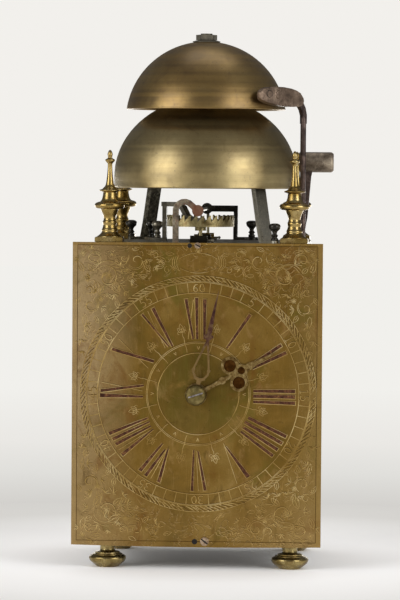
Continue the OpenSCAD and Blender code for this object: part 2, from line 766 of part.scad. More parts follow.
module bell_strap() {
  half = strap_half();
  other = [for (i = [len(half) - 1:-1:0]) [-half[i][0], half[i][1]]];
  path = concat(half, [[0, low_rim_z + arch_h]], other);
  color(iron) difference() {
    union() {
      rotate(-strap_turn) translate([0, strap_w / 2, 0]) rotate([90, 0, 0])
        linear_extrude(strap_w) intersection() {
          polygon(strip(path, strap_t));
          translate([-2 * low_bell_r, deck_z]) square([4 * low_bell_r, 2 * low_bell_r]);
        }
      translate([0, 0, low_seat_z - collar_h - 0.5]) cylinder(r=7, h=collar_h + 0.5);
      translate([0, 0, low_seat_z - collar_h])
        cylinder(r=bell_stud_r, h=stud_top_z - low_seat_z + collar_h);
      strap_flange(strap_foot, knob_a);
      strap_flange(-strap_foot, knob_b);
    }
    for (p = [knob_a, knob_b]) foot_hole(p);
  }
}

// A foot turned out flat on the plate, from a leg to the knob that holds it
module strap_flange(leg, knob) {
  out = unit(knob - leg);
  across = side_of(out);
  translate([0, 0, deck_z]) linear_extrude(flange_t) {
    polygon([leg - across * strap_w / 2 - out * strap_t / 2, knob - across * flange_end_r,
      knob + across * flange_end_r, leg + across * strap_w / 2 - out * strap_t / 2]);
    translate(knob) circle(flange_end_r);
  }
}

// The hole for a knob's shank in a foot that stands on the top plate
module foot_hole(place) {
  translate([place[0], place[1], deck_z - 1]) cylinder(r=knob_shank_r + 0.1, h=flange_t + 2);
}

// A turned knob on its threaded shank, standing on such a foot
module knob(place, size) {
  h = knob_h;
  translate([place[0], place[1], deck_z + flange_t]) turned([[0, 0], [0.56 * size, 0],
    [0.62 * size, 0.1 * h], [0.42 * size, 0.18 * h], [0.6 * size, 0.28 * h], [0.38 * size, 0.4 * h],
    [0.52 * size, 0.55 * h], [0.94 * size, 0.7 * h], [size, 0.83 * h], [0.86 * size, 0.93 * h],
    [0.4 * size, h], [0, h]]);
  translate([place[0], place[1], ceil_z - 2]) cylinder(r=knob_shank_r, h=top_plate_t + flange_t + 3);
}

module black_knobs() {
  color(dark_iron) for (p = [knob_a, knob_b, knob_c]) knob(p, knob_r);
}
module bracket_knob() { color(iron) knob(knob_d, knob_r); }
module bracket_small_knob() { color(dark_iron) knob(knob_e, 0.75 * knob_r); }

// A slim cock that arches over from the plate's front edge to the verge's front pivot
module front_verge_cock() {
  foot_x = cock_tenon[0];
  path = concat(
    [[foot_x, deck_z], [foot_x, verge_z - 1]],
    arc([foot_x + 6.2, verge_z], 6.2, 170, 60, 5),
    [[train_x - 3, verge_z + 2.6], [train_x, verge_z]]);
  color(iron) {
    difference() {
      union() {
        slab_y(0, 0, front_boss_y, front_boss_y + boss_t) polygon(strip(path, 4.2));
        rod_y(train_x, verge_z, front_boss_y, front_boss_y + boss_t, 4);
      }
      rod_y(train_x, verge_z, front_boss_y + 0.8, front_boss_y + boss_t + 1, pivot_r + run_gap);
    }
    translate([cock_tenon[0], cock_tenon[1], ceil_z]) cylinder(r=cock_tenon_r, h=top_plate_t + 2);
  }
}

module rear_verge_cock() {
  post_x0 = 18;
  post_t = 3;
  arm_h = 4.6;
  eye_t = 4;
  color(dark_iron) difference() {
    union() {
      rod_y(train_x, verge_z, rear_eye_y - eye_t / 2, rear_eye_y + eye_t / 2, 4.1);
      translate([train_x, rear_eye_y - eye_t / 2, verge_z - arm_h / 2])
        cube([post_x0 + post_t - train_x, eye_t, arm_h]);
      translate([post_x0, rear_eye_y - 9, deck_z]) cube([post_t, 11, verge_z + arm_h / 2 - deck_z]);
      translate([post_x0, rear_eye_y - 9, deck_z]) cube([knob_c[0] - post_x0, 9, flange_t]);
      translate([knob_c[0], knob_c[1], deck_z]) cylinder(r=5, h=flange_t);
    }
    rod_y(train_x, verge_z, rear_eye_y - eye_t, rear_eye_y + eye_t, verge_r + run_gap);
    foot_hole(knob_c);
    translate([post_x0 - 1, rear_eye_y - 10, deck_z + flange_t + 9]) cube([post_t + 2, 8, verge_z]);
  }
}

// The crown wheel's upper bearing: a post at its left and an arm that dips under the verge
module crown_bracket() {
  post = [bracket_x, bracket_y];
  axis = [train_x, crown_y];
  reach = norm(axis - post);
  turn = atan2(axis[1] - post[1], axis[0] - post[0]);
  top_z = crown_top_z + 7.4;
  nose_z = nose_low_z + nose_t / 2;
  path = [[-1.2, top_z], [9, top_z], [14, top_z - 0.4], [18, top_z - 2.4], [22, nose_z + 2.6],
    [26, nose_z + 0.4], [30, nose_z], [reach, nose_z]];
  color(iron) difference() {
    union() {
      translate([post[0] - 1.5, post[1] - 4.5, deck_z]) cube([3, 9, top_z + nose_t / 2 - deck_z]);
      translate([post[0], post[1], 0]) rotate(turn) translate([0, 2.4, 0]) rotate([90, 0, 0])
        linear_extrude(4.8) polygon(strip(path, nose_t));
      translate([axis[0], axis[1], nose_low_z]) cylinder(r=3.2, h=nose_t);
      translate([0, 0, deck_z]) linear_extrude(flange_t) {
        polygon([post + [-1.5, -4.5], post + [1.5, -4.5], post + [1.5, 4.5], knob_d + [4.4, 1],
          knob_e + [4.4, 1], knob_e + [-4, 0], knob_d + [-4.6, -1]]);
        translate(knob_d) circle(4.6);
        translate(knob_e) circle(4.2);
      }
    }
    translate([axis[0], axis[1], nose_low_z - 1]) cylinder(r=pivot_r + run_gap, h=nose_t + 2);
    translate([axis[0], axis[1], nose_low_z + nose_t]) cylinder(r=8, h=20);
    for (p = [knob_d, knob_e]) foot_hole(p);
  }
}

// The crown wheel's foot bearing, behind the front movement bar
module lower_potence() {
  reach_y = crown_y + 3.6;
  color(brass) difference() {
    union() {
      translate([train_x - 3.6, front_bay[0], potence_z])
        cube([7.2, reach_y - front_bay[0], potence_t]);
      translate([train_x - 5, front_bay[0], potence_z - 1]) cube([10, 3, potence_t + 12]);
    }
    translate([train_x, crown_y, potence_z - 1]) cylinder(r=pivot_r + run_gap, h=potence_t + 2);
  }
}

module crown_wheel() {
  pitch = 360 / crown_teeth;
  tip = 0.5;
  gap_w = 2 * PI * crown_r / crown_teeth;
  floor_t = 1.3;
  tooth_h = 4.6;
  rim_t = 1.6;
  low_z = potence_z + potence_t + run_gap;
  color(brass) translate([train_x, crown_y, 0]) {
    difference() {
      translate([0, 0, crown_z]) cylinder(r=crown_r, h=crown_h, $fn=128);
      translate([0, 0, crown_z + floor_t]) cylinder(r=crown_r - rim_t, h=crown_h, $fn=128);
      translate([0, 0, crown_z - 1]) linear_extrude(floor_t + 2)
        crossings(crown_r - rim_t - 2, 4.5, 4, 3.6);
      for (i = [0:crown_teeth - 1]) rotate(i * pitch) translate([crown_r - rim_t - 2, 0, 0])
        rotate([90, 0, 90]) linear_extrude(rim_t + 4) polygon([
          [tip / 2, crown_top_z + 1], [tip / 2, crown_top_z - tooth_h],
          [gap_w - tip / 2, crown_top_z], [gap_w - tip / 2, crown_top_z + 1]]);
    }
    translate([0, 0, crown_z - 3]) cylinder(r=4, h=3.4);
  }
  color(steel) translate([train_x, crown_y, 0]) {
    translate([0, 0, low_z]) cylinder(r=1.3, h=nose_low_z - run_gap - low_z);
    translate([0, 0, potence_z + 0.3]) cylinder(r=pivot_r, h=nose_low_z + nose_t - 0.4 - potence_z);
    translate([0, 0, contrate_z + contrate_r - 6]) linear_extrude(12)
      rotate(90 + 180 / crown_leaves) leaf_outline(crown_leaves, contrate_m);
  }
}

// Two pallets, set square to each other, one over each side of the crown wheel
module verge() {
  pallet_w = 6;
  back = pendulum_y + 3;
  color(steel) {
    rod_y(train_x, verge_z, front_boss_y + boss_t + run_gap, back, verge_r);
    rod_y(train_x, verge_z, front_boss_y + 1, front_boss_y + boss_t + 2, pivot_r);
    for (s = [-1, 1])
      translate([train_x, crown_y + s * (crown_r - 0.8), verge_z]) rotate([0, s * 45, 0])
        translate([-0.6, -pallet_w / 2, -pallet_l]) cube([1.2, pallet_w, pallet_l]);
  }
}

module pendulum_rod() {
  color(steel) {
    tube_y(train_x, verge_z, pendulum_y - 2, pendulum_y + 2, 3.2, verge_r);
    translate([train_x, pendulum_y, bob_z - bob_r - 4])
      cylinder(r=rod_thread_r, h=verge_z - verge_r - bob_z + bob_r + 3.2);
  }
}

module pendulum_bob() {
  steps = 7;
  half_lens = [for (i = [1:steps - 1])
    [bob_r * cos(180 / steps * i - 90), bob_t / 2 * sin(180 / steps * i - 90)]];
  color(brass) translate([train_x, pendulum_y, bob_z]) difference() {
    union() {
      rotate([90, 0, 0]) turned(concat([[0, -bob_t / 2]], half_lens, [[0, bob_t / 2]]));
      translate([0, 0, bob_r - 2]) cylinder(r=2.2, h=6);
      translate([0, 0, -bob_r - 2]) cylinder(r=2.4, h=4);
    }
    translate([0, 0, -bob_r - 3]) cylinder(r=rod_thread_r + 0.05, h=2 * bob_r + 9);
  }
}

// The upper bell's radius at a height
function up_bell_at(z) = up_bell_r * sqrt(1 - pow((z - up_centre_z) / up_bell_dome, 2));

// The upper hammer turns on an upright rod that stands on the bottom plate
module upper_hammer_rod() {
  bend_z = up_head_z - 13;
  tail_to = [train_x + pin_circle_r + 0.5, pins_front_y - work_gap - 1.3];
  way = unit(up_tip - [rod_x, rod_y]);
  path = [[0, bend_z - 6], [0, bend_z], [1.4, bend_z + 4.5], [4, bend_z + 8.2], [8, bend_z + 11.2]];
  color(brown_iron) {
    translate([rod_x, rod_y, foot_h + 0.5]) cylinder(r=pivot_r, h=bottom_plate_t + 1);
    translate([rod_x, rod_y, floor_z + run_gap]) cylinder(r=rod_shank_r, h=deck_z - floor_z);
    translate([rod_x, rod_y, deck_z + run_gap]) cylinder(r=rod_r, h=bend_z - deck_z - run_gap - 2);
    translate([rod_x, rod_y, 0]) rotate(atan2(way[1], way[0])) translate([0, rod_r * 0.85, 0])
      rotate([90, 0, 0]) linear_extrude(rod_r * 1.7)
        polygon(tapered_strip(path, [3.6, 3.8, 4.2, 4.6, 5]));
    translate([0, 0, up_tail_z - 3]) linear_extrude(6)
      polygon(tapered_strip([[rod_x, rod_y], [rod_x - 14, rod_y + 4], tail_to], [3.6, 2.8, 2.4]));
  }
}

// A flat-sided head that narrows to its nose, riveted over the rod's bent end
module upper_hammer_head() {
  root = [rod_x, rod_y];
  way = unit(up_tip - root);
  reach = norm(up_tip - root);
  side = [[3.6, -4.6], [3, -2.8], [3.6, -0.9], [7, 2.6], [11, 4.4], [16, 5.6], [24, 6.6], [31, 6.8],
    [37, 6.4], [41, 5.5], [reach - 1.2, 4], [reach, 2.4], [reach, -1.4], [reach - 1.2, -2.8], [40, -4.4],
    [32, -6], [22, -7.2], [15, -7.3], [9, -7], [5.4, -6.2]];
  half_plan = [[2, 3.5], [8, 4.2], [18, 4.5], [reach - 12, 4], [reach - 4, 2.8], [reach, 1.9]];
  plan = concat(half_plan, [for (i = [5:-1:0]) [half_plan[i][0], -half_plan[i][1]]]);
  color(brown_iron) translate([rod_x, rod_y, up_head_z]) rotate(atan2(way[1], way[0])) difference() {
    union() {
      intersection() {
        slab_y(0, 0, -5, 5) polygon(side);
        translate([0, 0, -8]) linear_extrude(16) polygon(plan);
      }
      rod_y(30, 1.2, 3, 4.9, 2.9);
    }
    translate([-1, -rod_r * 0.85 - 0.02, -8]) cube([12.5, rod_r * 1.7 + 0.04, 10]);
  }
}

module upper_hammer_spring() {
  color(steel) {
    translate([spring_x - 3, spring_y, floor_z]) cube([6, 0.8, up_tail_z - floor_z + 3]);
    translate([spring_x - 3, spring_y - 3, floor_z]) cube([6, 9, 1.2]);
    translate([spring_x, spring_y, foot_h + 0.4]) cylinder(r=1, h=bottom_plate_t);
  }
}

// The lower bell's radius at a height
function low_bell_at(z) =
  low_bell_r * sqrt(1 - pow(max(z - low_rim_z - low_bell_skirt, 0) / low_bell_dome, 2));

// The lower hammer rocks on an arbor across the frame; its tail rests over the hammer pins
module lower_hammer_arm() {
  tail_r = pin_circle_r + hammer_pin_r + work_gap + 0.9;
  tail_to = [train_x, great_z] + tail_r * [cos(tail_a), sin(tail_a)];
  tail = [low_pivot, [40, tail_to[1] + 46], tail_to + [3, 8], tail_to];
  color(brown_iron) {
    slab_y(0, 0, low_hammer_y - arm_t / 2, low_hammer_y + arm_t / 2)
      polygon(tapered_strip(arm, arm_widths));
    slab_y(0, 0, low_hammer_y - 1.6, low_hammer_y + 1.6)
      polygon(tapered_strip(tail, [5, 3.6, 2.6, 1.8]));
    rod_y(low_pivot[0], low_pivot[1], low_hammer_y - 3.5, low_hammer_y + 3.5, 4.2);
    arbor_between(low_pivot[0], low_pivot[1], rear_bay, arbor_r + 0.4);
  }
}

module lower_hammer_head() {
  color(brown_iron) translate([low_face_x, low_hammer_y, low_head_z]) difference() {
    rotate([0, 90, 0]) union() {
      cylinder(r1=low_head_r - 0.6, r2=low_head_r, h=0.8);
      translate([0, 0, 0.8]) cylinder(r=low_head_r, h=low_head_l - 2.4);
      translate([0, 0, low_head_l - 1.6]) cylinder(r1=low_head_r, r2=low_head_r - 1.2, h=1.6);
    }
    translate([-low_face_x, 0, -low_head_z]) slab_y(0, 0, -arm_t / 2 - 0.02, arm_t / 2 + 0.02)
      polygon(tapered_strip(arm, [for (w = arm_widths) w + 0.06]));
  }
}

module lower_hammer_spring() {
  tip = low_pivot + [-9.6, -14];
  color(steel) {
    slab_y(0, 0, low_hammer_y - 3, low_hammer_y + 3)
      polygon(strip([[leaf_x + 3, ceil_z - 0.5], [leaf_x + 6, ceil_z - 6], tip + [-3, 8], tip], 0.9));
    translate([leaf_x - 4, low_hammer_y - 3, ceil_z - 1.2]) cube([8, 6, 1.2]);
    translate([leaf_x, low_hammer_y, ceil_z - 0.6]) cylinder(r=1, h=top_plate_t);
  }
}

// Movement bars, each tenoned into both plates
module bar(y, arms, holes) {
  color(brass) difference() {
    union() {
      translate([train_x - bar_w / 2, y, floor_z]) cube([bar_w, bar_t, frame_h]);
      translate([train_x - tenon_w / 2, y, foot_h])
        cube([tenon_w, bar_t, deck_z + tenon_rise - foot_h]);
      for (a = arms) slab_y(0, 0, y, y + bar_t) {
        polygon(tapered_strip([[train_x, a[1]], a], [10, 8]));
        translate(a) circle(4);
      }
    }
    for (h = holes) rod_y(h[0], h[1], y - 1, y + bar_t + 1, h[2]);
    translate([train_x - tenon_w, y + bar_t / 2, deck_z + pin_rise]) rotate([0, 90, 0])
      cylinder(r=bar_pin_r + 0.05, h=2 * tenon_w);
  }
}

module front_bar() {
  bar(front_bar_y, [[lever_x, lifting_z]], [
    [train_x, great_z, pivot_r + run_gap], [train_x, minute_z, 1.5],
    [train_x, centre_z, centre_arbor_r + run_gap], [train_x, contrate_z, pivot_r + run_gap],
    [lever_x, lifting_z, arbor_r + run_gap]]);
}

module middle_bar() {
  bar(middle_bar_y, [[lever_x, lifting_z], [lever_x, detent_z], low_pivot], [
    [train_x, great_z, pivot_r + run_gap], [train_x, centre_z, pivot_r + run_gap],
    [train_x, contrate_z, pivot_r + run_gap], [train_x, warning_z, pivot_r + run_gap],
    [train_x, fly_z, pivot_r + run_gap], [lever_x, lifting_z, arbor_r + run_gap],
    [lever_x, detent_z, pivot_r + run_gap], [low_pivot[0], low_pivot[1], pivot_r + run_gap]]);
}

module rear_bar() {
  bar(rear_bar_y, [[lever_x, lifting_z], [lever_x, detent_z], low_pivot], [
    [train_x, great_z, report_arbor_r + run_gap], [train_x, centre_z, pivot_r + run_gap],
    [train_x, warning_z, pivot_r + run_gap], [train_x, fly_z, pivot_r + run_gap],
    [train_x, count_z, 1.5], [lever_x, lifting_z, pivot_r + run_gap],
    [lever_x, detent_z, arbor_r + run_gap], [low_pivot[0], low_pivot[1], pivot_r + run_gap]]);
}

module bar_pins() {
  color(iron) for (y = [front_bar_y, middle_bar_y, rear_bar_y])
    translate([train_x - 9, y + bar_t / 2, deck_z + pin_rise]) rotate([0, 90, 0]) {
      cylinder(r1=bar_pin_r * 0.7, r2=bar_pin_r, h=18);
      translate([0, 0, 18.6]) sphere(r=y == front_bar_y ? 1.5 : 1.1);
    }
}

// A great wheel turns its arbor; its rope pulley turns back freely past a click to be wound
module great_wheel(bay, y) {
  color(brass) slab_y(train_x, great_z, y, y + great_t) rotate(90)
    crossed_wheel(great_teeth, great_m, 5, 11, 4, 6);
  color(brass) slab_y(train_x, great_z, y, y + great_t) rotate(click_turn)
    translate([click_r, 0]) circle(4.5);
  color(steel) arbor_between(train_x, great_z, bay, great_arbor_r);
}

// A pulley with spikes for its rope and a ratchet on the side of its great wheel
module rope_pulley(y_front, y_back, ratchet_front) {
  n = 12;
  half = (y_back - y_front) / 2;
  groove = pulley_r - 6;
  color(dark_brass) {
    translate([train_x, (y_front + y_back) / 2, great_z]) rotate([90, 0, 0])
      turned([[great_arbor_r + run_gap, -half], [pulley_r, -half], [pulley_r, -half + 1.4],
        [groove, -half + 5], [groove, half - 5], [pulley_r, half - 1.4], [pulley_r, half],
        [great_arbor_r + run_gap, half]]);
    for (i = [0:9]) translate([train_x, (y_front + y_back) / 2, great_z]) rotate([0, 36 * i, 0])
      translate([0, 0, groove - 0.5]) cylinder(r1=0.9, r2=0.3, h=3.8);
    slab_y(train_x, great_z, ratchet_front, ratchet_front + ratchet_t) difference() {
      polygon([for (i = [0:n - 1], c = [[ratchet_r - 3, 0], [ratchet_r, 0.02]])
        c[0] * [cos((i - c[1]) * 360 / n), sin((i - c[1]) * 360 / n)]]);
      circle(great_arbor_r + run_gap);
    }
  }
}

// A click: its boss stands on the great wheel, and its blade lies in the ratchet's plane
module click(y_front, y_back, ratchet_front) {
  stud = [train_x, great_z] + click_r * [cos(click_turn), sin(click_turn)];
  nose_a = click_turn + 24;
  nose = [train_x, great_z] + (ratchet_r + work_gap + 1) * [cos(nose_a), sin(nose_a)];
  color(steel) {
    slab_y(0, 0, ratchet_front, ratchet_front + ratchet_t)
      polygon(tapered_strip([stud, (stud + nose) / 2 + [1.6, 0], nose], [5, 4, 1.8]));
    rod_y(stud[0], stud[1], y_front, y_back, 3.2);
  }
}

module going_great_wheel() { great_wheel(front_bay, going_wheel_y); }
module going_rope_pulley() { rope_pulley(going_pulley[0], going_pulley[1], going_pulley[1]); }
module going_click() { click(going_pulley[1], going_wheel_y, going_pulley[1]); }

module strike_great_wheel() {
  great_wheel(rear_bay, strike_wheel_y);
  color(steel) for (i = [0:7])
    rod_y(train_x + pin_circle_r * cos(45 * i + 22.5), great_z + pin_circle_r * sin(45 * i + 22.5),
      pins_front_y, strike_wheel_y + 0.5, hammer_pin_r);
  color(steel) rod_y(train_x, great_z, rear_bay[1] - 1, count_y + 3, report_arbor_r);
  color(steel) slab_y(train_x, great_z, count_y - 0.6, count_y + 2.6)
    rotate(90 + 180 / report_leaves) leaf_outline(report_leaves, count_m);
}
module strike_rope_pulley() {
  rope_pulley(strike_pulley[0], strike_pulley[1], strike_pulley[0] - ratchet_t);
}
module strike_click() {
  click(strike_wheel_y + great_t, strike_pulley[0], strike_pulley[0] - ratchet_t);
}

module centre_wheel() {
  color(brass) slab_y(train_x, centre_z, centre_y, centre_y + 2) rotate(90)
    crossed_wheel(centre_teeth, centre_m, 3, 8, 4, 4);
  color(steel) {
    slab_y(train_x, centre_z, going_wheel_y - 3, centre_y + 0.5)
      rotate(270 + 180 / great_leaves) leaf_outline(great_leaves, great_m);
    rod_y(train_x, centre_z, nut_y - 1.6, front_bay[1] - run_gap, centre_arbor_r);
    rod_y(train_x, centre_z, front_bay[1] - 1, front_bay[1] + pivot_l, pivot_r);
  }
}

module contrate_wheel() {
  pitch = 360 / contrate_teeth;
  pitch_y = crown_y + crown_leaf_r;
  foot = wheel_foot * PI * contrate_m;
  tip = wheel_tip * PI * contrate_m;
  foot_y = pitch_y + wheel_ded * contrate_m;
  tip_y = pitch_y - wheel_add * contrate_m;
  band = 1.6;
  color(brass) {
    slab_y(train_x, contrate_z, contrate_y, contrate_y + 1.8) difference() {
      circle(contrate_r + band / 2);
      crossings(contrate_r - band / 2 - 1.4, 6, 4, 3.4);
    }
    tube_y(train_x, contrate_z, foot_y, contrate_y + 0.5, contrate_r + band / 2, contrate_r - band / 2);
    translate([train_x, 0, contrate_z]) for (i = [0:contrate_teeth - 1]) rotate([0, i * pitch, 0])
      translate([0, 0, contrate_r - band / 2]) linear_extrude(band)
        polygon([[-foot, foot_y + 0.3], [-foot, foot_y], [-tip, tip_y], [tip, tip_y],
          [foot, foot_y], [foot, foot_y + 0.3]]);
  }
  color(steel) {
    arbor_between(train_x, contrate_z, front_bay, arbor_r);
    slab_y(train_x, contrate_z, centre_y - 1.5, centre_y + 3.5)
      rotate(270 + 180 / contrate_leaves) leaf_outline(contrate_leaves, centre_m);
  }
}

module cannon_wheel() {
  color(brass) difference() {
    union() {
      slab_y(train_x, centre_z, cannon_y, cannon_y + cannon_t) rotate(270)
        leaf_outline(cannon_teeth, cannon_m);
      rod_y(train_x, centre_z, minute_hand_y, cannon_y + 0.5, cannon_pipe_r);
    }
    rod_y(train_x, centre_z, minute_hand_y - 1, cannon_y + cannon_t + 1, centre_arbor_r + 0.02);
  }
}

module minute_wheel() {
  low_y = hour_wheel_y - 0.5;
  color(brass) difference() {
    union() {
      slab_y(train_x, minute_z, cannon_y, cannon_y + cannon_t) rotate(90 + 180 / minute_teeth)
        crossed_wheel(minute_teeth, cannon_m, 2.4, 6, 4, 3);
      slab_y(train_x, minute_z, low_y, cannon_y + 0.5) rotate(90)
        leaf_outline(minute_leaves, hour_m);
      for (s = [-1, 1])
        rod_y(train_x + s * motion_pin_r, minute_z, cannon_y + 0.5, cannon_y + cannon_t + 3, 0.9);
    }
    rod_y(train_x, minute_z, low_y - 1, cannon_y + cannon_t + 1, 1.5 + run_gap);
  }
}

module wheel_studs() {
  color(steel) {
    rod_y(train_x, minute_z, hour_wheel_y - 0.7, front_bar_y + bar_t, 1.5);
    rod_y(train_x, minute_z, cannon_y + cannon_t + 0.3, front_bar_y, 3);
    rod_y(train_x, count_z, rear_bar_y, count_y + 3.6, 1.5);
    rod_y(train_x, count_z, rear_bar_y + bar_t, count_y - 0.3, 3);
  }
}

module hour_wheel() {
  color(brass) difference() {
    union() {
      slab_y(train_x, centre_z, hour_wheel_y, hour_wheel_y + hour_wheel_t) rotate(270 + 180 / hour_teeth)
        crossed_wheel(hour_teeth, hour_m, 2.6, 8, 4, 3.4);
      rod_y(train_x, centre_z, hour_hand_y, hour_wheel_y + 0.5, hour_pipe_r);
      rod_y(train_x, centre_z, hour_hand_y - hand_t, hour_hand_y + 1, hour_pipe_r - 0.8);
    }
    rod_y(train_x, centre_z, hour_hand_y - 3, hour_wheel_y + hour_wheel_t + 1, cannon_pipe_r + run_gap);
  }
}

module hoop_wheel() {
  color(brass) {
    slab_y(train_x, centre_z, hoop_y, hoop_y + 2) rotate(90)
      crossed_wheel(hoop_teeth, hoop_m, 3, 8, 4, 4);
    difference() {
      tube_y(train_x, centre_z, hoop_y + 1, hoop_y + 7, hoop_r, hoop_r - 1.4);
      slab_y(train_x, centre_z, hoop_y + 2.5, hoop_y + 8) rotate(nose_a - 14)
        polygon([[0, 0], [30, -5], [30, 5]]);
    }
  }
  color(steel) {
    arbor_between(train_x, centre_z, rear_bay, arbor_r);
    slab_y(train_x, centre_z, strike_wheel_y - 2, hoop_y + 0.5)
      rotate(270 + 180 / great_leaves) leaf_outline(great_leaves, great_m);
  }
}

module warning_wheel() {
  color(brass) slab_y(train_x, warning_z, warning_y, warning_y + 1.8) rotate(90)
    crossed_wheel(warning_teeth, warning_m, 2.4, 5, 4, 3);
  color(steel) {
    arbor_between(train_x, warning_z, rear_bay, arbor_r);
    slab_y(train_x, warning_z, hoop_y - 1.5, hoop_y + 5)
      rotate(270 + 180 / warning_leaves) leaf_outline(warning_leaves, hoop_m);
    rod_y(train_x - warning_pin_r, warning_z, warning_y + 1, warning_y + 4.6, 0.8);
  }
}

module fly() {
  vane_l = 18;
  color(steel) {
    arbor_between(train_x, fly_z, rear_bay, 1.2);
    slab_y(train_x, fly_z, warning_y - 2, warning_y + 3.5)
      rotate(270 + 180 / fly_leaves) leaf_outline(fly_leaves, warning_m);
  }
  color(brass) {
    slab_y(train_x, fly_z, warning_y + 6.5, rear_bay[1] - 2.5) rotate(20)
      square([2 * vane_l, 0.8], center=true);
    rod_y(train_x, fly_z, warning_y + 7.5, rear_bay[1] - 3.5, 2.2);
  }
}

module count_wheel() {
  color(brass) difference() {
    union() {
      slab_y(train_x, count_z, count_y, count_y + 1.6) rotate(270) wheel_outline(count_teeth, count_m);
      slab_y(train_x, count_z, count_y + 1.5, count_y + 3) difference() {
        circle(count_notch_r);
        for (n = [1:12]) rotate(nose_a + (n * (n + 1) / 2 - 1) * 360 / 78)
          translate([count_notch_r - 3, -0.9]) square([6, 1.8]);
      }
    }
    slab_y(train_x, count_z, count_y - 1, count_y + 4) crossings(count_notch_r - 5, 7, 4, 4);
    rod_y(train_x, count_z, count_y - 1, count_y + 4, 1.5 + run_gap);
  }
}

// The detent lever: one blade rests over the hoop, the other over the count wheel
module detent_lever() {
  hoop_nose = [train_x, centre_z] + (hoop_r + work_gap + 0.9) * [cos(nose_a), sin(nose_a)];
  count_nose = [train_x, count_z]
    + (count_notch_r + work_gap + 0.9) * [cos(nose_a), sin(nose_a)];
  detent = [lever_x, detent_z];
  color(iron) {
    rod_y(lever_x, detent_z, rear_bay[0] + run_gap, count_y + 3.2, arbor_r);
    rod_y(lever_x, detent_z, rear_bay[0] - pivot_l, rear_bay[0] + 2, pivot_r);
    slab_y(0, 0, hoop_y + 3.5, hoop_y + 6)
      polygon(tapered_strip([detent, (detent + hoop_nose) / 2 + [0, 3], hoop_nose], [4.4, 3, 1.8]));
    slab_y(0, 0, count_y + 1.7, count_y + 3.2)
      polygon(tapered_strip([detent, (detent + count_nose) / 2 + [1, 3], count_nose], [4.4, 3, 1.8]));
  }
}

// The lifting lever: the minute wheel lifts its front arm, its rear arm stops the warning wheel
module lifting_lever() {
  pivot = [lever_x, lifting_z];
  lift_nose = [train_x, minute_z]
    + (motion_pin_r + 0.9 + work_gap + 0.9) * [cos(lift_a), sin(lift_a)];
  stop_nose = [train_x, warning_z]
    + (warning_pin_r + 0.8 + work_gap + 0.9) * [cos(stop_a), sin(stop_a)];
  color(iron) {
    rod_y(lever_x, lifting_z, cannon_y + cannon_t + 0.6, rear_bay[1] - run_gap, arbor_r);
    rod_y(lever_x, lifting_z, rear_bay[1] - 2, rear_bay[1] + pivot_l, pivot_r);
    slab_y(0, 0, cannon_y + cannon_t + 0.6, cannon_y + cannon_t + 2.4)
      polygon(tapered_strip([pivot, (pivot + lift_nose) / 2 + [0, 3], lift_nose], [4.4, 3, 1.8]));
    slab_y(0, 0, warning_y + 2.4, warning_y + 4.6)
      polygon(tapered_strip([pivot, (pivot + stop_nose) / 2 + [2, -3], stop_nose], [4.4, 3, 1.8]));
  }
}

bottom_plate();
top_plate();
pillars();
feet();
finials();
back_plate();
left_door();
right_door();
left_door_knob();
right_door_knob();
dial_plate();
dial_screws();
hour_hand();
minute_hand();
hand_nut();
lower_bell();
upper_bell();
bell_spacer();
bell_washer();
bell_nut();
bell_strap();
black_knobs();
bracket_knob();
bracket_small_knob();
front_verge_cock();
rear_verge_cock();
crown_bracket();
lower_potence();
crown_wheel();
verge();
pendulum_rod();
pendulum_bob();
upper_hammer_rod();
upper_hammer_head();
upper_hammer_spring();
lower_hammer_arm();
lower_hammer_head();
lower_hammer_spring();
front_bar();
middle_bar();
rear_bar();
bar_pins();
going_great_wheel();
going_rope_pulley();
going_click();
centre_wheel();
contrate_wheel();
cannon_wheel();
minute_wheel();
wheel_studs();
hour_wheel();
strike_great_wheel();
strike_rope_pulley();
strike_click();
hoop_wheel();
warning_wheel();
fly();
count_wheel();
detent_lever();
lifting_lever();
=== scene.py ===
import bmesh
import bpy
import json
import math
import random
from mathutils import Matrix, Vector


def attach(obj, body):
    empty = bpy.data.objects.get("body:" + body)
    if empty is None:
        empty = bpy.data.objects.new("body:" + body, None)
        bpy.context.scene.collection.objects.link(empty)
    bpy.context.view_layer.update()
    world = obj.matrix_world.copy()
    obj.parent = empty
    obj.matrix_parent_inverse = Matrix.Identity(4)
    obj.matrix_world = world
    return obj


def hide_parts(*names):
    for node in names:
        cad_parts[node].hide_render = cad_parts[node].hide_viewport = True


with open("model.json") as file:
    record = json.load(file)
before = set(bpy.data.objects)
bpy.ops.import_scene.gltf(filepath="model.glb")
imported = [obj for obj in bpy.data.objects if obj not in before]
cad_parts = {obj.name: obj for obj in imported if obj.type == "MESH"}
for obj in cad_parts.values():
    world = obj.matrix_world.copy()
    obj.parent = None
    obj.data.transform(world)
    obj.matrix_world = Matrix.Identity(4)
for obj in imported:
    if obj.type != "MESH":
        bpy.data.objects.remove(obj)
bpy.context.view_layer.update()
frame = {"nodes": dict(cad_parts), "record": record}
mm = 0.001
print("frame loaded:", len(frame["nodes"]), "nodes")


def tone(red, green, blue):
    # a colour as a paint chart gives it, 0 to 255, made linear
    def straight(value):
        share = value / 255
        return share / 12.92 if share <= 0.04045 else ((share + 0.055) / 1.055) ** 2.4
    return (straight(red), straight(green), straight(blue), 1.0)


def addNode(tree, kind, inputs=None, **settings):
    node = tree.nodes.new(kind)
    for label, value in settings.items():
        setattr(node, label, value)
    for label, value in (inputs or {}).items():
        socket = node.inputs[label]
        if isinstance(value, bpy.types.NodeSocket):
            tree.links.new(value, socket)
        else:
            socket.default_value = value
    return node


def calc(tree, operation, *values):
    return addNode(tree, "ShaderNodeMath", dict(enumerate(values)), operation=operation).outputs[0]


def product(tree, value, *factors):
    for factor in factors:
        value = calc(tree, "MULTIPLY", value, factor)
    return value


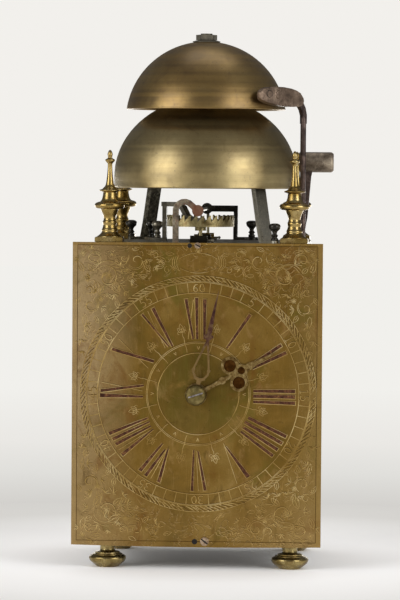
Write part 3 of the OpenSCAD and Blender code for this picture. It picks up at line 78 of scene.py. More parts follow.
def colourRamp(tree, factor, stops):
    ramp = addNode(tree, "ShaderNodeValToRGB", {"Fac": factor})
    elements = ramp.color_ramp.elements
    while len(elements) < len(stops):
        elements.new(0.5)
    for element, (place, colour) in zip(elements, stops):
        element.position = place
        element.color = colour
    return ramp.outputs["Color"]


def noise(tree, coords, scale, detail, roughness, distortion=0.0):
    return addNode(tree, "ShaderNodeTexNoise", {
        "Vector": coords, "Scale": scale, "Detail": detail,
        "Roughness": roughness, "Distortion": distortion}).outputs["Fac"]


def stretched(tree, coords, scale, turn):
    return addNode(tree, "ShaderNodeMapping", {
        "Vector": coords, "Scale": scale, "Rotation": turn}).outputs["Vector"]


def spread(tree, value, low, high, toLow=0.0, toHigh=1.0):
    return addNode(tree, "ShaderNodeMapRange", {
        "Value": value, "From Min": low, "From Max": high,
        "To Min": toLow, "To Max": toHigh}).outputs["Result"]


def mixColour(tree, factor, first, second):
    node = addNode(tree, "ShaderNodeMix", data_type="RGBA")
    for index, value in ((0, factor), (6, first), (7, second)):
        if isinstance(value, bpy.types.NodeSocket):
            tree.links.new(value, node.inputs[index])
        else:
            node.inputs[index].default_value = value
    return node.outputs[2]


def newMaterial(name):
    # an empty material, its tree and the object coordinates in it
    material = bpy.data.materials.new(name)
    material.use_nodes = True
    tree = material.node_tree
    tree.nodes.clear()
    return material, tree, addNode(tree, "ShaderNodeTexCoord").outputs["Object"]


def bumped(tree, height, relief):
    return addNode(tree, "ShaderNodeBump", {
        "Height": height, "Distance": relief * mm, "Strength": 1.0}).outputs["Normal"]


def reachOf(tree, across, up):
    squares = [product(tree, side, side) for side in (across, up)]
    return calc(tree, "SQRT", calc(tree, "ADD", *squares))


def scratched(tree, coords, colour, height, tint, scratches, strength):
    # long fine scratches that run a few ways
    for turn, share in scratches["ways"]:
        way = stretched(tree, coords, scratches["squeeze"], (0, turn, 0))
        lines = noise(tree, way, 1.0, 2, 0.6)
        mark = spread(tree, lines, *scratches["reach"], 0.0, strength * share)
        colour = mixColour(tree, mark, colour, tint)
        height = calc(tree, "SUBTRACT", height, mark)
    return colour, height


def pitted(tree, coords, colour, height, roughness, pits, strength):
    # small dark and rough holes
    pit = spread(tree, noise(tree, coords, pits["scale"], 5, 0.7), *pits["reach"], 0.0, strength)
    colour = mixColour(tree, pit, colour, tone(*pits["colour"]))
    roughness = calc(tree, "ADD", roughness, product(tree, pit, pits["roughness"]))
    return colour, calc(tree, "SUBTRACT", height, pit), roughness


# what all the plain metals share
metalWear = dict(
    cloudStops=(0.3, 0.5, 0.7), cloudReach=(0.3, 0.7),
    fineScale=1600, fineReach=(0.35, 0.65), fineHeight=0.35,
    stainScale=2200, stainReach=(0.52, 0.68), spotReach=(0.55, 1.15), spotRagged=0.8,
    turningLines=dict(scale=900, detail=4, rough=0.8, reach=(0.38, 0.62), share=0.5, height=1.3),
    turningBands=dict(scale=130, detail=3, rough=0.6, reach=(0.35, 0.65), share=0.35, gloss=0.06),
    scratches=dict(ways=((0.5, 1.0), (-0.9, 0.8), (1.9, 0.7)), squeeze=(2600, 2600, 60),
                   reach=(0.62, 0.72)),
    pits=dict(scale=420, reach=(0.62, 0.7), colour=(38, 30, 20), roughness=0.25),
    coatRoughness=0.36, coatIor=2.0)


def turningNoise(tree, along, look):
    return addNode(tree, "ShaderNodeTexNoise", {
        "W": along, "Scale": look["scale"], "Detail": look["detail"], "Roughness": look["rough"]},
        noise_dimensions="1D").outputs["Fac"]


def metalFinish(name, dark, middle, light, patch, rough, metallic=1.0, pits=0.0, grain=0.3,
                hairlines=0.0, lathe=0.0, stain=None, stainShare=0.3, relief=0.06, coat=0.0,
                spot=None):
    # colours go from 0 to 255, patch is the size in mm of the colour clouds, and lathe draws
    # turning lines round the Z axis
    material, tree, coords = newMaterial(name)
    wear = metalWear
    dark, middle, light = (tone(*colour) for colour in (dark, middle, light))
    clouds = noise(tree, coords, 1000 / patch, 5, 0.6, 0.4)
    colour = colourRamp(tree, clouds, list(zip(wear["cloudStops"], (dark, middle, light))))
    fine = noise(tree, coords, wear["fineScale"], 3, 0.7)
    colour = mixColour(tree, spread(tree, fine, *wear["fineReach"], 0.0, grain), colour, dark)
    height = product(tree, fine, wear["fineHeight"])
    roughness = spread(tree, clouds, *wear["cloudReach"], rough[1], rough[0])
    if stain:
        stainCloud = noise(tree, coords, wear["stainScale"] / patch, 6, 0.65, 1.2)
        stainFactor = spread(tree, stainCloud, *wear["stainReach"], 0.0, stainShare)
        colour = mixColour(tree, stainFactor, colour, tone(*stain))
    if spot:
        away = addNode(tree, "ShaderNodeVectorMath", {
            0: coords, 1: Vector(spot["at"]) * mm}, operation="DISTANCE").outputs["Value"]
        reach = calc(tree, "ADD", calc(tree, "DIVIDE", away, mm * spot["radius"]), product(
            tree, calc(tree, "SUBTRACT", fine, 0.5), wear["spotRagged"]))
        colour = mixColour(tree, spread(tree, reach, *wear["spotReach"], spot["share"], 0.0),
                           colour, tone(*spot["colour"]))
    if lathe:
        parts = addNode(tree, "ShaderNodeSeparateXYZ", {"Vector": coords})
        along = calc(tree, "SUBTRACT", parts.outputs[2], reachOf(tree, *parts.outputs[:2]))
        lines, bands = wear["turningLines"], wear["turningBands"]
        fineTurns, wideTurns = (turningNoise(tree, along, look) for look in (lines, bands))
        colour = mixColour(tree, spread(
            tree, fineTurns, *lines["reach"], 0.0, lines["share"] * lathe), colour, dark)
        colour = mixColour(tree, spread(
            tree, wideTurns, *bands["reach"], 0.0, bands["share"] * lathe), colour, light)
        height = calc(tree, "ADD", height, product(tree, fineTurns, lines["height"] * lathe))
        roughness = calc(tree, "ADD", roughness, spread(
            tree, wideTurns, *wear["cloudReach"], -bands["gloss"], bands["gloss"]))
    if hairlines:
        colour, height = scratched(
            tree, coords, colour, height, light, wear["scratches"], hairlines)
    if pits:
        colour, height, roughness = pitted(
            tree, coords, colour, height, roughness, wear["pits"], pits)
    shader = addNode(tree, "ShaderNodeBsdfPrincipled", {
        "Base Color": colour, "Roughness": roughness, "Normal": bumped(tree, height, relief),
        "Metallic": metallic, "Coat Weight": coat, "Coat Roughness": wear["coatRoughness"],
        "Coat IOR": wear["coatIor"]})
    addNode(tree, "ShaderNodeOutputMaterial", {"Surface": shader.outputs[0]})
    return material


finishes = {
    "brass": metalFinish(
        "brass", (118, 92, 40), (170, 144, 84), (200, 178, 124), patch=14,
        rough=(0.2, 0.34), pits=0.45, grain=0.25, stain=(106, 64, 28), stainShare=0.5),
    "aged_brass": metalFinish(
        "agedBrass", (130, 102, 49), (141, 113, 58), (154, 126, 71), patch=34,
        rough=(0.4, 0.52), pits=0.5, grain=0.25, hairlines=0.26,
        stain=(120, 84, 40), stainShare=0.35),
    "bell_metal": metalFinish(
        "bellMetal", (132, 113, 68), (166, 145, 95), (188, 168, 117), patch=34,
        rough=(0.34, 0.44), pits=0.5, grain=0.22, lathe=0.42,
        stain=(110, 90, 48), stainShare=0.4, coat=0.35),
    "grey_iron": metalFinish(
        "greyIron", (70, 66, 57), (112, 106, 92), (152, 145, 127), patch=8,
        metallic=0.7, rough=(0.34, 0.55), pits=0.5, grain=0.4, relief=0.1),
    "black_iron": metalFinish(
        "blackIron", (22, 20, 17), (46, 43, 37), (92, 88, 78), patch=6,
        metallic=0.65, rough=(0.2, 0.36), pits=0.3, grain=0.3, relief=0.08),
    "brown_iron": metalFinish(
        "brownIron", (48, 38, 34), (84, 70, 64), (132, 112, 102), patch=6,
        metallic=0.7, rough=(0.32, 0.5), pits=0.5, grain=0.4, hairlines=0.2, relief=0.12),
    "steel": metalFinish(
        "steel", (96, 90, 74), (150, 142, 120), (205, 198, 172), patch=6,
        rough=(0.26, 0.42), pits=0.4, grain=0.3, hairlines=0.2),
    "blued_steel": metalFinish(
        "bluedSteel", (44, 36, 52), (78, 66, 82), (120, 104, 116), patch=7,
        metallic=0.85, rough=(0.28, 0.42), pits=0.3, grain=0.3),
}


def dialMetal(look):
    # the plate's colours by where they lie on it: u across and v up from the rings' middle, in mm
    material, tree, coords = newMaterial("dialMetal")
    parts = addNode(tree, "ShaderNodeSeparateXYZ", {"Vector": coords})
    u, v = (calc(tree, "SUBTRACT", product(tree, parts.outputs[axis], 1000), middle)
            for axis, middle in zip((0, 2), look["middle"]))
    measures = dict(u=u, v=v, side=calc(tree, "ABSOLUTE", u), radius=reachOf(tree, u, v))
    clouds = noise(tree, coords, 1000 / look["patch"], 5, 0.6, 0.6)
    small = noise(tree, coords, look["smallScale"] / look["patch"], 6, 0.66, 1.0)
    fine = noise(tree, coords, metalWear["fineScale"], 3, 0.7)

    def shareOf(steps):
        # the product of shares, each going from one value to another along its measure
        return product(
            tree, *(spread(tree, measures[measure], *reach) for measure, *reach in steps))

    def zoned(colour, zones):
        # coloured zones whose strength follows the small clouds
        for tint, ragged, *steps in zones:
            uneven = spread(tree, small, *look["raggedReach"], 1 - ragged, 1.0)
            colour = mixColour(tree, product(tree, shareOf(steps), uneven), colour, tone(*tint))
        return colour

    colour = colourRamp(tree, clouds, [(stop, tone(*olive)) for stop, olive in look["olives"]])
    colour = zoned(colour, look["zones"])
    worn = look["worn"]
    rubbed = product(tree, shareOf(worn["steps"]), spread(
        tree, noise(tree, coords, worn["scale"], 6, 0.7, 0.8), *worn["reach"]))
    colour = mixColour(tree, rubbed, colour, tone(*worn["colour"]))
    for scale, low, tint, strength in look["stains"]:
        drawnOut = stretched(tree, coords, (1, 1, 0.7), (0, scale, 0))
        stain = noise(tree, drawnOut, scale, 6, 0.68, 1.2)
        factor = spread(tree, stain, low, low + look["stainFade"], 0.0, strength)
        colour = mixColour(tree, factor, colour, tone(*tint))
    colour = zoned(colour, look["edges"])
    colour = mixColour(tree, spread(tree, fine, *metalWear["fineReach"], 0.0, look["grainShare"]),
                       colour, tone(*look["grain"]))
    height = calc(tree, "ADD", product(tree, fine, look["fineHeight"]),
                  product(tree, small, look["smallHeight"]))
    colour, height = scratched(tree, coords, colour, height, tone(*look["scratch"]),
                               look["scratches"], look["scratches"]["share"])
    # faint worn scrolls between the drawn ones, in the corners only, each a bright line with a
    # painted shade line a little above it
    scrolls = look["scrolls"]
    patches = spread(
        tree, noise(tree, coords, scrolls["patchScale"], 3, 0.6), *scrolls["patchReach"])
    for away, tint, strength in scrolls["lines"]:
        shifted = addNode(tree, "ShaderNodeVectorMath", {
            0: coords, 1: Vector(away) * mm}, operation="SUBTRACT").outputs[0]
        field = calc(tree, "SUBTRACT", noise(tree, shifted, scrolls["scale"], 3, 0.55, 1.3), 0.5)
        ridge = spread(tree, calc(tree, "ABSOLUTE", field), *scrolls["ridge"], 1.0, 0.0)
        scroll = product(tree, ridge, shareOf(scrolls["steps"]), patches)
        colour = mixColour(tree, product(tree, scroll, strength), colour, tone(*look[tint]))
        height = calc(tree, "SUBTRACT", height, scroll)
    roughness = spread(tree, clouds, *metalWear["cloudReach"], *look["rough"])
    colour, height, roughness = pitted(
        tree, coords, colour, height, roughness, look["pits"], look["pits"]["share"])
    shader = addNode(tree, "ShaderNodeBsdfPrincipled", {
        "Base Color": colour, "Metallic": 1.0, "Normal": bumped(tree, height, look["relief"]),
        "Roughness": roughness})
    addNode(tree, "ShaderNodeOutputMaterial", {"Surface": shader.outputs[0]})
    return material


# a zone is its colour, how ragged it is, then steps: a measure, where it starts and ends, and the
# share of the colour at each
dialLook = dict(
    middle=(-0.4, 123.6), patch=52, smallScale=3200, relief=0.12, rough=(0.56, 0.46),
    raggedReach=(0.35, 0.6), stainFade=0.12, fineHeight=0.3, smallHeight=1.2,
    olives=((0.34, (116, 92, 40)), (0.5, (138, 107, 48)), (0.66, (158, 128, 68))),
    # the zones lighter on the left and on the right are painted reflections of the lamps; the
    # others make the plate lighter towards the bottom, darker towards the top and darker inside the
    # inner ring
    zones=[((206, 180, 138), 0.3, ("u", -42, -90, 0.0, 1.0), ("v", -60, 50, 0.5, 1.0)),
           ((166, 138, 84), 0.4, ("u", 62, 88, 0.0, 0.65)),
           ((178, 148, 96), 0.6, ("v", -52, -98, 0.0, 0.7), ("side", 20, 75, 0.3, 1.0)),
           ((126, 92, 42), 0.8, ("v", 60, 100, 0.0, 0.35)),
           ((104, 88, 38), 0.35, ("radius", 31.0, 27.0, 0.0, 0.7))],
    worn=dict(scale=26, reach=(0.5, 0.62), colour=(168, 130, 70),
              steps=[("radius", 30, 12, 0.0, 0.9)]),
    stains=[(16, 0.52, (108, 102, 40), 0.55), (34, 0.55, (126, 82, 38), 0.5),
            (90, 0.58, (84, 60, 26), 0.5), (60, 0.57, (186, 152, 98), 0.4)],
    # the lighter strips along the left, top and right edges are painted highlights
    edges=[((186, 156, 104), 0.45, ("u", -84.95, -85.55, 0.0, 0.65)),
           ((160, 128, 66), 0.45, ("v", 103.6, 104.1, 0.0, 0.7)),
           ((176, 144, 82), 0.45, ("u", 82.65, 83.25, 0.0, 0.55))],
    grain=(84, 62, 24), grainShare=0.22, scratch=(196, 166, 110),
    scratches=dict(ways=((0.5, 1.0), (-0.9, 0.8), (1.9, 0.7), (0.05, 0.9)),
                   squeeze=(2600, 2600, 50), reach=(0.64, 0.74), share=0.16),
    scrolls=dict(patchScale=34, patchReach=(0.4, 0.52), scale=85, ridge=(0.004, 0.018),
                 steps=[("radius", 84, 87), ("side", 82, 80)],
                 # the second scroll line, shifted up and in the grain colour, is painted shade
                 lines=[((0, 0, 0), "scratch", 0.6), ((0.135, 0, 0.45), "grain", 0.5)]),
    pits=dict(scale=300, reach=(0.66, 0.72), colour=(40, 30, 16), roughness=0.2, share=0.6))

# finishes of single pieces that differ from the rest of their slot
ownFinishes = {
    "upper_bell": metalFinish(
        "upperBellMetal", (116, 88, 34), (150, 119, 56), (176, 145, 80), patch=30,
        rough=(0.34, 0.44), pits=0.6, grain=0.25, lathe=0.42, stain=(100, 70, 26),
        stainShare=0.45, coat=0.45),
    "hour_hand": metalFinish(
        "paleBrass", (82, 58, 28), (154, 128, 78), (206, 182, 128), patch=3.4,
        rough=(0.3, 0.44), pits=0.5, grain=0.35, stain=(70, 40, 22), stainShare=0.6, relief=0.16),
    "minute_hand": metalFinish(
        "fadedBlue", (58, 36, 34), (92, 60, 52), (146, 118, 84), patch=5,
        metallic=0.9, rough=(0.34, 0.48), pits=0.3, grain=0.35, relief=0.1,
        spot=dict(at=(1.5, -77, 140), radius=19, colour=(150, 124, 74), share=0.7)),
    "hand_nut": metalFinish(
        "dullNut", (84, 72, 42), (122, 108, 66), (156, 140, 92), patch=4,
        rough=(0.34, 0.5), pits=0.4, grain=0.35, hairlines=0.3, relief=0.1),
    "crown_wheel": metalFinish(
        "tarnishedBrass", (92, 80, 50), (160, 146, 104), (194, 180, 136), patch=6,
        rough=(0.3, 0.46), pits=0.4, grain=0.3, stain=(112, 66, 36), stainShare=0.35),
    "lower_potence": metalFinish(
        "greyedBrass", (74, 66, 48), (128, 120, 96), (176, 168, 140), patch=5,
        rough=(0.32, 0.46), pits=0.4, grain=0.3),
    "front_verge_cock": metalFinish(
        "reddenedIron", (76, 66, 56), (142, 130, 110), (190, 178, 154), patch=5,
        metallic=0.85, rough=(0.34, 0.52), pits=0.5, grain=0.4, stain=(132, 66, 38),
        stainShare=0.5, relief=0.12,
        spot=dict(at=(-1.8, -68, 251.5), radius=8, colour=(124, 76, 54), share=0.75)),
    # the near-white spot lightens the strap's right leg as painted light
    "bell_strap": metalFinish(
        "strapIronAndHighlight", (38, 35, 27), (100, 95, 80), (164, 158, 138), patch=2.6,
        metallic=0.8, rough=(0.28, 0.5), pits=0.95, grain=0.8, relief=0.2,
        spot=dict(at=(80, -45, 240), radius=62, colour=(255, 250, 232), share=0.4)),
    "front_bar": metalFinish(
        "frontBarBrass", (124, 96, 44), (168, 138, 68), (194, 166, 98), patch=14,
        rough=(0.3, 0.44),
        spot=dict(at=(-1.8, -55, 234), radius=15, colour=(44, 40, 32), share=1.0)),
    "middle_bar": metalFinish(
        "middleBarBrass", (124, 96, 44), (168, 138, 68), (194, 166, 98), patch=14,
        rough=(0.3, 0.44), spot=dict(at=(5, -2.5, 234), radius=15, colour=(50, 45, 36), share=1.0)),
    # pale and half metallic, so that its colour stands in for the backdrop's reflection on the
    # deck: painted reflection
    "top_plate": metalFinish(
        "deckIronPaleAsReflection", (86, 82, 72), (136, 131, 117), (174, 168, 150), patch=12,
        metallic=0.5, rough=(0.3, 0.46), pits=0.5, grain=0.35, relief=0.1),
    "bracket_knob": metalFinish(
        "knobSteel", (92, 87, 75), (158, 151, 134), (206, 199, 180), patch=4,
        metallic=0.85, rough=(0.22, 0.38), pits=0.4, grain=0.3),
    "lower_hammer_head": metalFinish(
        "lowerHeadIron", (66, 54, 43), (146, 131, 113), (196, 181, 159), patch=9,
        metallic=0.75, rough=(0.34, 0.5), pits=0.6, grain=0.4, hairlines=0.3, relief=0.12),
    "dial_screws": metalFinish(
        "screwSteel", (120, 98, 76), (186, 160, 134), (222, 200, 174), patch=2.4,
        rough=(0.28, 0.42), pits=0.4, grain=0.3, hairlines=0.3),
    "feet": metalFinish(
        "footBrass", (106, 86, 42), (166, 148, 98), (200, 184, 136), patch=12,
        rough=(0.22, 0.34), pits=0.5, grain=0.25, stain=(104, 68, 30), stainShare=0.5),
    "upper_hammer_head": metalFinish(
        "headIron", (68, 54, 44), (124, 104, 88), (168, 146, 126), patch=7,
        metallic=0.75, rough=(0.34, 0.5), pits=0.5, grain=0.4, hairlines=0.3, relief=0.12),
    "dial_plate": dialMetal(dialLook),
}
nodeSlots = {part["node"]: part["material_slot"] for part in frame["record"]["subparts"]}
for node, solid in frame["nodes"].items():
    solid.data.materials.clear()
    solid.data.materials.append(ownFinishes.get(node, finishes[nodeSlots[node]]))
print("finishes made:", len(finishes) + len(ownFinishes))


def newTree(name, sockets):
    tree = bpy.data.node_groups.new(name, "GeometryNodeTree")
    tree.interface.new_socket("Geometry", in_out="INPUT", socket_type="NodeSocketGeometry")
    for label, kind, value in sockets:
        socket = tree.interface.new_socket(label, in_out="INPUT", socket_type=kind)
        if value is not None:
            socket.default_value = value
    tree.interface.new_socket("Geometry", in_out="OUTPUT", socket_type="NodeSocketGeometry")
    return tree, addNode(tree, "NodeGroupInput")


def endTree(tree, given, geometry):
    # every tree ends in Realize Instances and Set Material
    real = addNode(tree, "GeometryNodeRealizeInstances", {"Geometry": geometry})
    painted = addNode(tree, "GeometryNodeSetMaterial", {
        "Geometry": real.outputs[0], "Material": given.outputs["Finish"]})
    out = addNode(tree, "NodeGroupOutput")
    tree.links.new(painted.outputs[0], out.inputs[0])
    return tree


def runTree(piece, tree, values):
    modifier = piece.modifiers.new(tree.name, "NODES")
    modifier.node_group = tree
    ids = {item.name: item.identifier for item in tree.interface.items_tree
           if item.item_type == "SOCKET" and item.in_out == "INPUT"}
    for label, value in values.items():
        modifier[ids[label]] = value
    bakeModifiers(piece)


def bakeModifiers(piece):
    graph = bpy.context.evaluated_depsgraph_get()
    graph.update()
    mesh = bpy.data.meshes.new_from_object(piece.evaluated_get(graph))
    piece.modifiers.clear()
    old = piece.data
    piece.data = mesh
    mesh.name = piece.name
    bpy.data.meshes.remove(old)


def addObject(name, data):
    thing = bpy.data.objects.new(name, data)
    bpy.context.scene.collection.objects.link(thing)
    return thing


def placedAt(x, y, z):
    return Matrix.Translation(Vector((x, y, z)) * mm)


def newPiece(name, points, faces=(), edges=()):
    # points come in millimetres
    mesh = bpy.data.meshes.new(name)
    mesh.from_pydata([Vector(p) * mm for p in points], edges, faces)
    return addObject(name, mesh)


def smoothed(mesh, sharp):
    mesh.shade_smooth()
    mesh.set_sharp_from_angle(angle=math.radians(sharp))


def merged(mesh, doubles=1e-6, flat=0):
    # doubled points become one, nearly flat neighbours one face, and all faces look outwards
    work = bmesh.new()
    work.from_mesh(mesh)
    bmesh.ops.remove_doubles(work, verts=work.verts, dist=doubles)
    if flat:
        bmesh.ops.dissolve_limit(work, angle_limit=math.radians(flat), verts=work.verts,
                                 edges=work.edges)
    bmesh.ops.recalc_face_normals(work, faces=work.faces)
    work.to_mesh(mesh)
    work.free()


def tidySurface(piece, sharp):
    merged(piece.data)
    smoothed(piece.data, sharp)


def settle(piece, body, slotName, *replaced):
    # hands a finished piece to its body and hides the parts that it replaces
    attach(piece, body)
    if replaced:
        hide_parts(*replaced)
    return piece


def joined(name, pieces):
    # several pieces as one, with their places already in their meshes
    work = bmesh.new()
    materials = []
    for piece in pieces:
        start = len(work.faces)
        work.from_mesh(piece.data)
        work.faces.ensure_lookup_table()
        material = next((m for m in piece.data.materials if m), None)
        if material not in materials:
            materials.append(material)
        for face in work.faces[start:]:
            face.material_index = materials.index(material)
    mesh = bpy.data.meshes.new(name)
    work.to_mesh(mesh)
    work.free()
    for material in materials:
        if material:
            mesh.materials.append(material)
    for piece in pieces:
        bpy.data.objects.remove(piece)
    return addObject(name, mesh)


def turnedFormTree():
    # turns the points of a profile, radius along X and height along Z, round the Z axis
    tree, given = newTree("turnedForm", [
        ("Segments", "NodeSocketInt", 96), ("Finish", "NodeSocketMaterial", None)])
    size = addNode(tree, "GeometryNodeAttributeDomainSize", {"Geometry": given.outputs[0]})
    count = size.outputs["Point Count"]
    around = calc(tree, "ADD", given.outputs["Segments"], 1)
    grid = addNode(tree, "GeometryNodeMeshGrid", {
        "Size X": 1.0, "Size Y": 1.0, "Vertices X": count, "Vertices Y": around})
    place = addNode(tree, "ShaderNodeSeparateXYZ", {
        "Vector": addNode(tree, "GeometryNodeInputPosition").outputs[0]})
    row = calc(tree, "ROUND", product(
        tree, calc(tree, "ADD", place.outputs[0], 0.5),
        calc(tree, "SUBTRACT", count, 1)))
    picked = addNode(tree, "GeometryNodeSampleIndex", {
        "Geometry": given.outputs[0], "Index": row}, data_type="FLOAT_VECTOR")
    tree.links.new(addNode(tree, "GeometryNodeInputPosition").outputs[0], picked.inputs["Value"])
    profile = addNode(tree, "ShaderNodeSeparateXYZ", {"Vector": picked.outputs[0]})
    turn = product(tree, calc(tree, "ADD", place.outputs[1], 0.5), 2 * math.pi)
    spot = addNode(tree, "ShaderNodeCombineXYZ", {
        "X": product(tree, profile.outputs[0], calc(tree, "COSINE", turn)),
        "Y": product(tree, profile.outputs[0], calc(tree, "SINE", turn)),
        "Z": profile.outputs[2]})
    moved = addNode(tree, "GeometryNodeSetPosition", {
        "Geometry": grid.outputs[0], "Position": spot.outputs[0]})
    closed = addNode(tree, "GeometryNodeMergeByDistance", {
        "Geometry": moved.outputs[0], "Distance": 1e-6})
    return endTree(tree, given, closed.outputs[0])


turnedForm = turnedFormTree()


def flowing(points):
    # a smooth line through the points of a turned profile
    line, steps = [], 3
    for i in range(len(points) - 1):
        before, start, end, after = (Vector(points[min(max(i + k, 0), len(points) - 1)])
                                     for k in (-1, 0, 1, 2))
        for k in range(steps):
            t = k / steps
            spot = 0.5 * (2 * start + (end - before) * t
                          + (2 * before - 5 * start + 4 * end - after) * t * t
                          + (3 * start - before - 3 * end + after) * t ** 3)
            line.append((max(spot.x, 0), spot.y))
    line.append(tuple(points[-1]))
    return line


def turned(name, profile, finish, segments, centre=(0, 0, 0), axis=(0, 0, 1), sharp=38):
    piece = newPiece(name, [(r, 0, z) for r, z in profile],
                     edges=[(i, i + 1) for i in range(len(profile) - 1)])
    runTree(piece, turnedForm, {"Segments": segments, "Finish": finish})
    aim = Vector((0, 0, 1)).rotation_difference(Vector(axis)).to_matrix().to_4x4()
    piece.data.transform(placedAt(*centre) @ aim)
    tidySurface(piece, sharp)
    return piece


def disc(name, radius, thick, finish, centre, segments):
    # a flat round that faces the front
    profile = [(0, 0), (radius, 0), (radius, thick), (0, thick)]
    return turned(name, profile, finish, segments, centre, (0, 1, 0))


# how far apart doubled points may lie, in metres, then angles in degrees
filed = dict(doubles=2e-6, flat=2, segments=2, bevelFrom=35, sharp=21)


def softened(node, body, bevel):
    # the CAD solid's own form with worn edges
    piece = addObject(node + "Worn", frame["nodes"][node].data.copy())
    merged(piece.data, filed["doubles"], filed["flat"])
    edge = piece.modifiers.new("wornEdges", "BEVEL")
    edge.width = bevel * mm
    edge.segments = filed["segments"]
    edge.limit_method = "ANGLE"
    edge.angle_limit = math.radians(filed["bevelFrom"])
    bakeModifiers(piece)
    smoothed(piece.data, filed["sharp"])
    return settle(piece, body, nodeSlots[node], node)


bells = {
    # base is the height at which the dome starts, and chatter the unevenness that turning left
    "lower_bell": dict(name="lowerBell", radius=65.7, rim=267.4, base=275.7, dome=56.9,
                       crown=332.0, wall=3.0, bore=4.4, chatter=0.035, seed=4),
    "upper_bell": dict(name="upperBell", radius=57.8, rim=323.7, base=315.9, dome=56.9,
                       crown=372.2, wall=3.0, bore=4.4, chatter=0.035, seed=9),
}
# the lip's points lie so far across and up from the foot of the inner wall, then of the outer one,
# and each wall starts so far above the rim
bellTurning = dict(outerSteps=96, innerSteps=40, straight=8, segments=144, sharp=50,
                   lip=([(0, 0.5), (0.5, 0)], [(-0.6, 0), (-0.15, 0.18), (0, 0.6)]),
                   wallStarts=(0.6, 0.7))


def bellSide(shape, inset, steps):
    # half section of one face of a bell, from its rim to its bore
    radius, dome = shape["radius"] - inset, shape["dome"] - inset
    low = max((shape["rim"] - shape["base"]) / shape["dome"], 0)
    line = []
    if shape["base"] > shape["rim"]:
        straight = bellTurning["straight"]
        line = [(radius, shape["rim"] + (shape["base"] - shape["rim"]) * k / straight)
                for k in range(straight)]
    for k in range(steps + 1):
        angle = math.asin(low) + (math.pi / 2 - math.asin(low)) * k / steps
        line.append((max(radius * math.cos(angle), shape["bore"]),
                     min(shape["base"] + dome * math.sin(angle), shape["crown"] - inset)))
    return line


def makeBell(node, shape):
    chance = random.Random(shape["seed"])
    outside = [(r + chance.uniform(-1, 1) * shape["chatter"], z) if r > shape["bore"] else (r, z)
               for r, z in bellSide(shape, 0, bellTurning["outerSteps"])]
    inside = bellSide(shape, shape["wall"], bellTurning["innerSteps"])
    lip = [(foot + across, shape["rim"] + up)
           for foot, points in zip((inside[0][0], outside[0][0]), bellTurning["lip"])
           for across, up in points]
    inner, outer = ([(r, z) for r, z in side if z > shape["rim"] + start]
                    for side, start in zip((inside, outside), bellTurning["wallStarts"]))
    profile = inner[::-1] + lip + outer
    profile.append(profile[0])
    bell = turned(shape["name"], profile, ownFinishes.get(node, finishes["bell_metal"]),
                  bellTurning["segments"], sharp=bellTurning["sharp"])
    return settle(bell, "frame", "bell_metal", node)


for bellNode, bellShape in bells.items():
    makeBell(bellNode, bellShape)
print("bells turned")

# turned brass at the corners: radius and height of each point of a profile
posts = dict(x=64.5, y=58)
finialShifts = {(1, -1): 1.2}  # the front right finial stands a little further out
finialPlinth = dict(width=19.6, height=3.8, base=229.2, edge=0.45)
finialShape = dict(body=229.0, segments=56, profile=[
    (8.7, 2), (8.75, 2.5), (8.7, 4.3), (7.6, 5.1), (6.4, 6.3), (5.5, 7.6), (5.7, 8.9), (5.1, 10.0),
    (4.6, 11.9), (4.8, 13.4), (4.9, 14.6), (4.3, 15.9), (4.2, 17.2), (4.5, 19), (5.6, 21.6),
    (6.3, 23.3), (6.5, 23.7), (8.8, 23.9), (10.2, 24.8), (10.6, 26.2), (10.1, 27.5), (8.7, 28.3),
    (6.9, 28.8), (6.5, 29.1), (5.6, 30.4), (5, 32.7), (4.75, 34.7), (4.9, 35.4), (6.4, 36.0),
    (7.3, 36.4), (7.4, 36.9), (6.6, 37.3), (5.3, 37.7), (4.7, 38.4), (3.5, 39.6), (2.75, 41.6),
    (2.1, 46.5), (1.7, 51.5), (1.6, 54.8), (1.9, 55.8), (3.1, 57.1), (3.5, 58), (3.0, 58.6),
    (2.0, 59.1), (1.5, 59.7), (1.6, 60.8), (1.85, 61.9), (1.5, 63.4), (0.8, 64.8), (0, 65.3)])
footShape = dict(segments=64, profile=[
    (0, 0.02), (6.9, 0.02), (7.7, 0.25), (9.4, 1.6), (11.9, 3.6), (12.9, 5.2), (13.1, 6.4),
    (12.7, 7.4), (11.4, 8.3), (10.5, 8.7), (10.4, 9.1), (9.2, 9.35), (8.8, 9.6), (8.8, 10.3),
    (7.6, 10.7), (6.2, 11), (5.4, 11.6), (5.25, 13), (5.3, 14.6), (5.9, 15.8), (6.6, 16.4),
    (6.6, 17.9), (6.55, 18), (0, 18)])


def plinth(width, height, base, edge):
    # a square block with filed edges
    work = bmesh.new()
    bmesh.ops.create_cube(work, size=1)
    bmesh.ops.scale(work, vec=Vector((width, width, height)) * mm, verts=work.verts)
    bmesh.ops.translate(work, vec=Vector((0, 0, base + height / 2)) * mm, verts=work.verts)
    bmesh.ops.bevel(work, geom=work.edges[:], offset=edge * mm, segments=3, affect="EDGES")
    mesh = bpy.data.meshes.new("plinth")
    work.to_mesh(mesh)
    work.free()
    smoothed(mesh, 35)
    mesh.materials.append(finishes["brass"])
    return addObject("plinth", mesh)


def atPosts(name, makeOne, shifts=None):
    # one copy for each corner, each turned a quarter so that no two wear alike
    copies = []
    for number, (sx, sy) in enumerate(((-1, -1), (1, -1), (-1, 1), (1, 1))):
        for piece in makeOne():
            out = sx * posts["x"] + (shifts or {}).get((sx, sy), 0)
            piece.data.transform(placedAt(out, sy * posts["y"], 0)
                                 @ Matrix.Rotation(number * math.pi / 2, 4, "Z"))
            copies.append(piece)
    return joined(name, copies)


def oneFinial():
    shape = finialShape
    line = [(r, z + shape["body"]) for r, z in flowing(shape["profile"])]
    return [plinth(**finialPlinth),
            turned("finial", line, finishes["brass"], shape["segments"])]


def oneFoot():
    return [turned("foot", flowing(footShape["profile"]), ownFinishes["feet"],
                   footShape["segments"])]


settle(atPosts("finialSet", oneFinial, finialShifts), "frame", "brass", "finials")
settle(atPosts("footSet", oneFoot), "frame", "aged_brass", "feet")

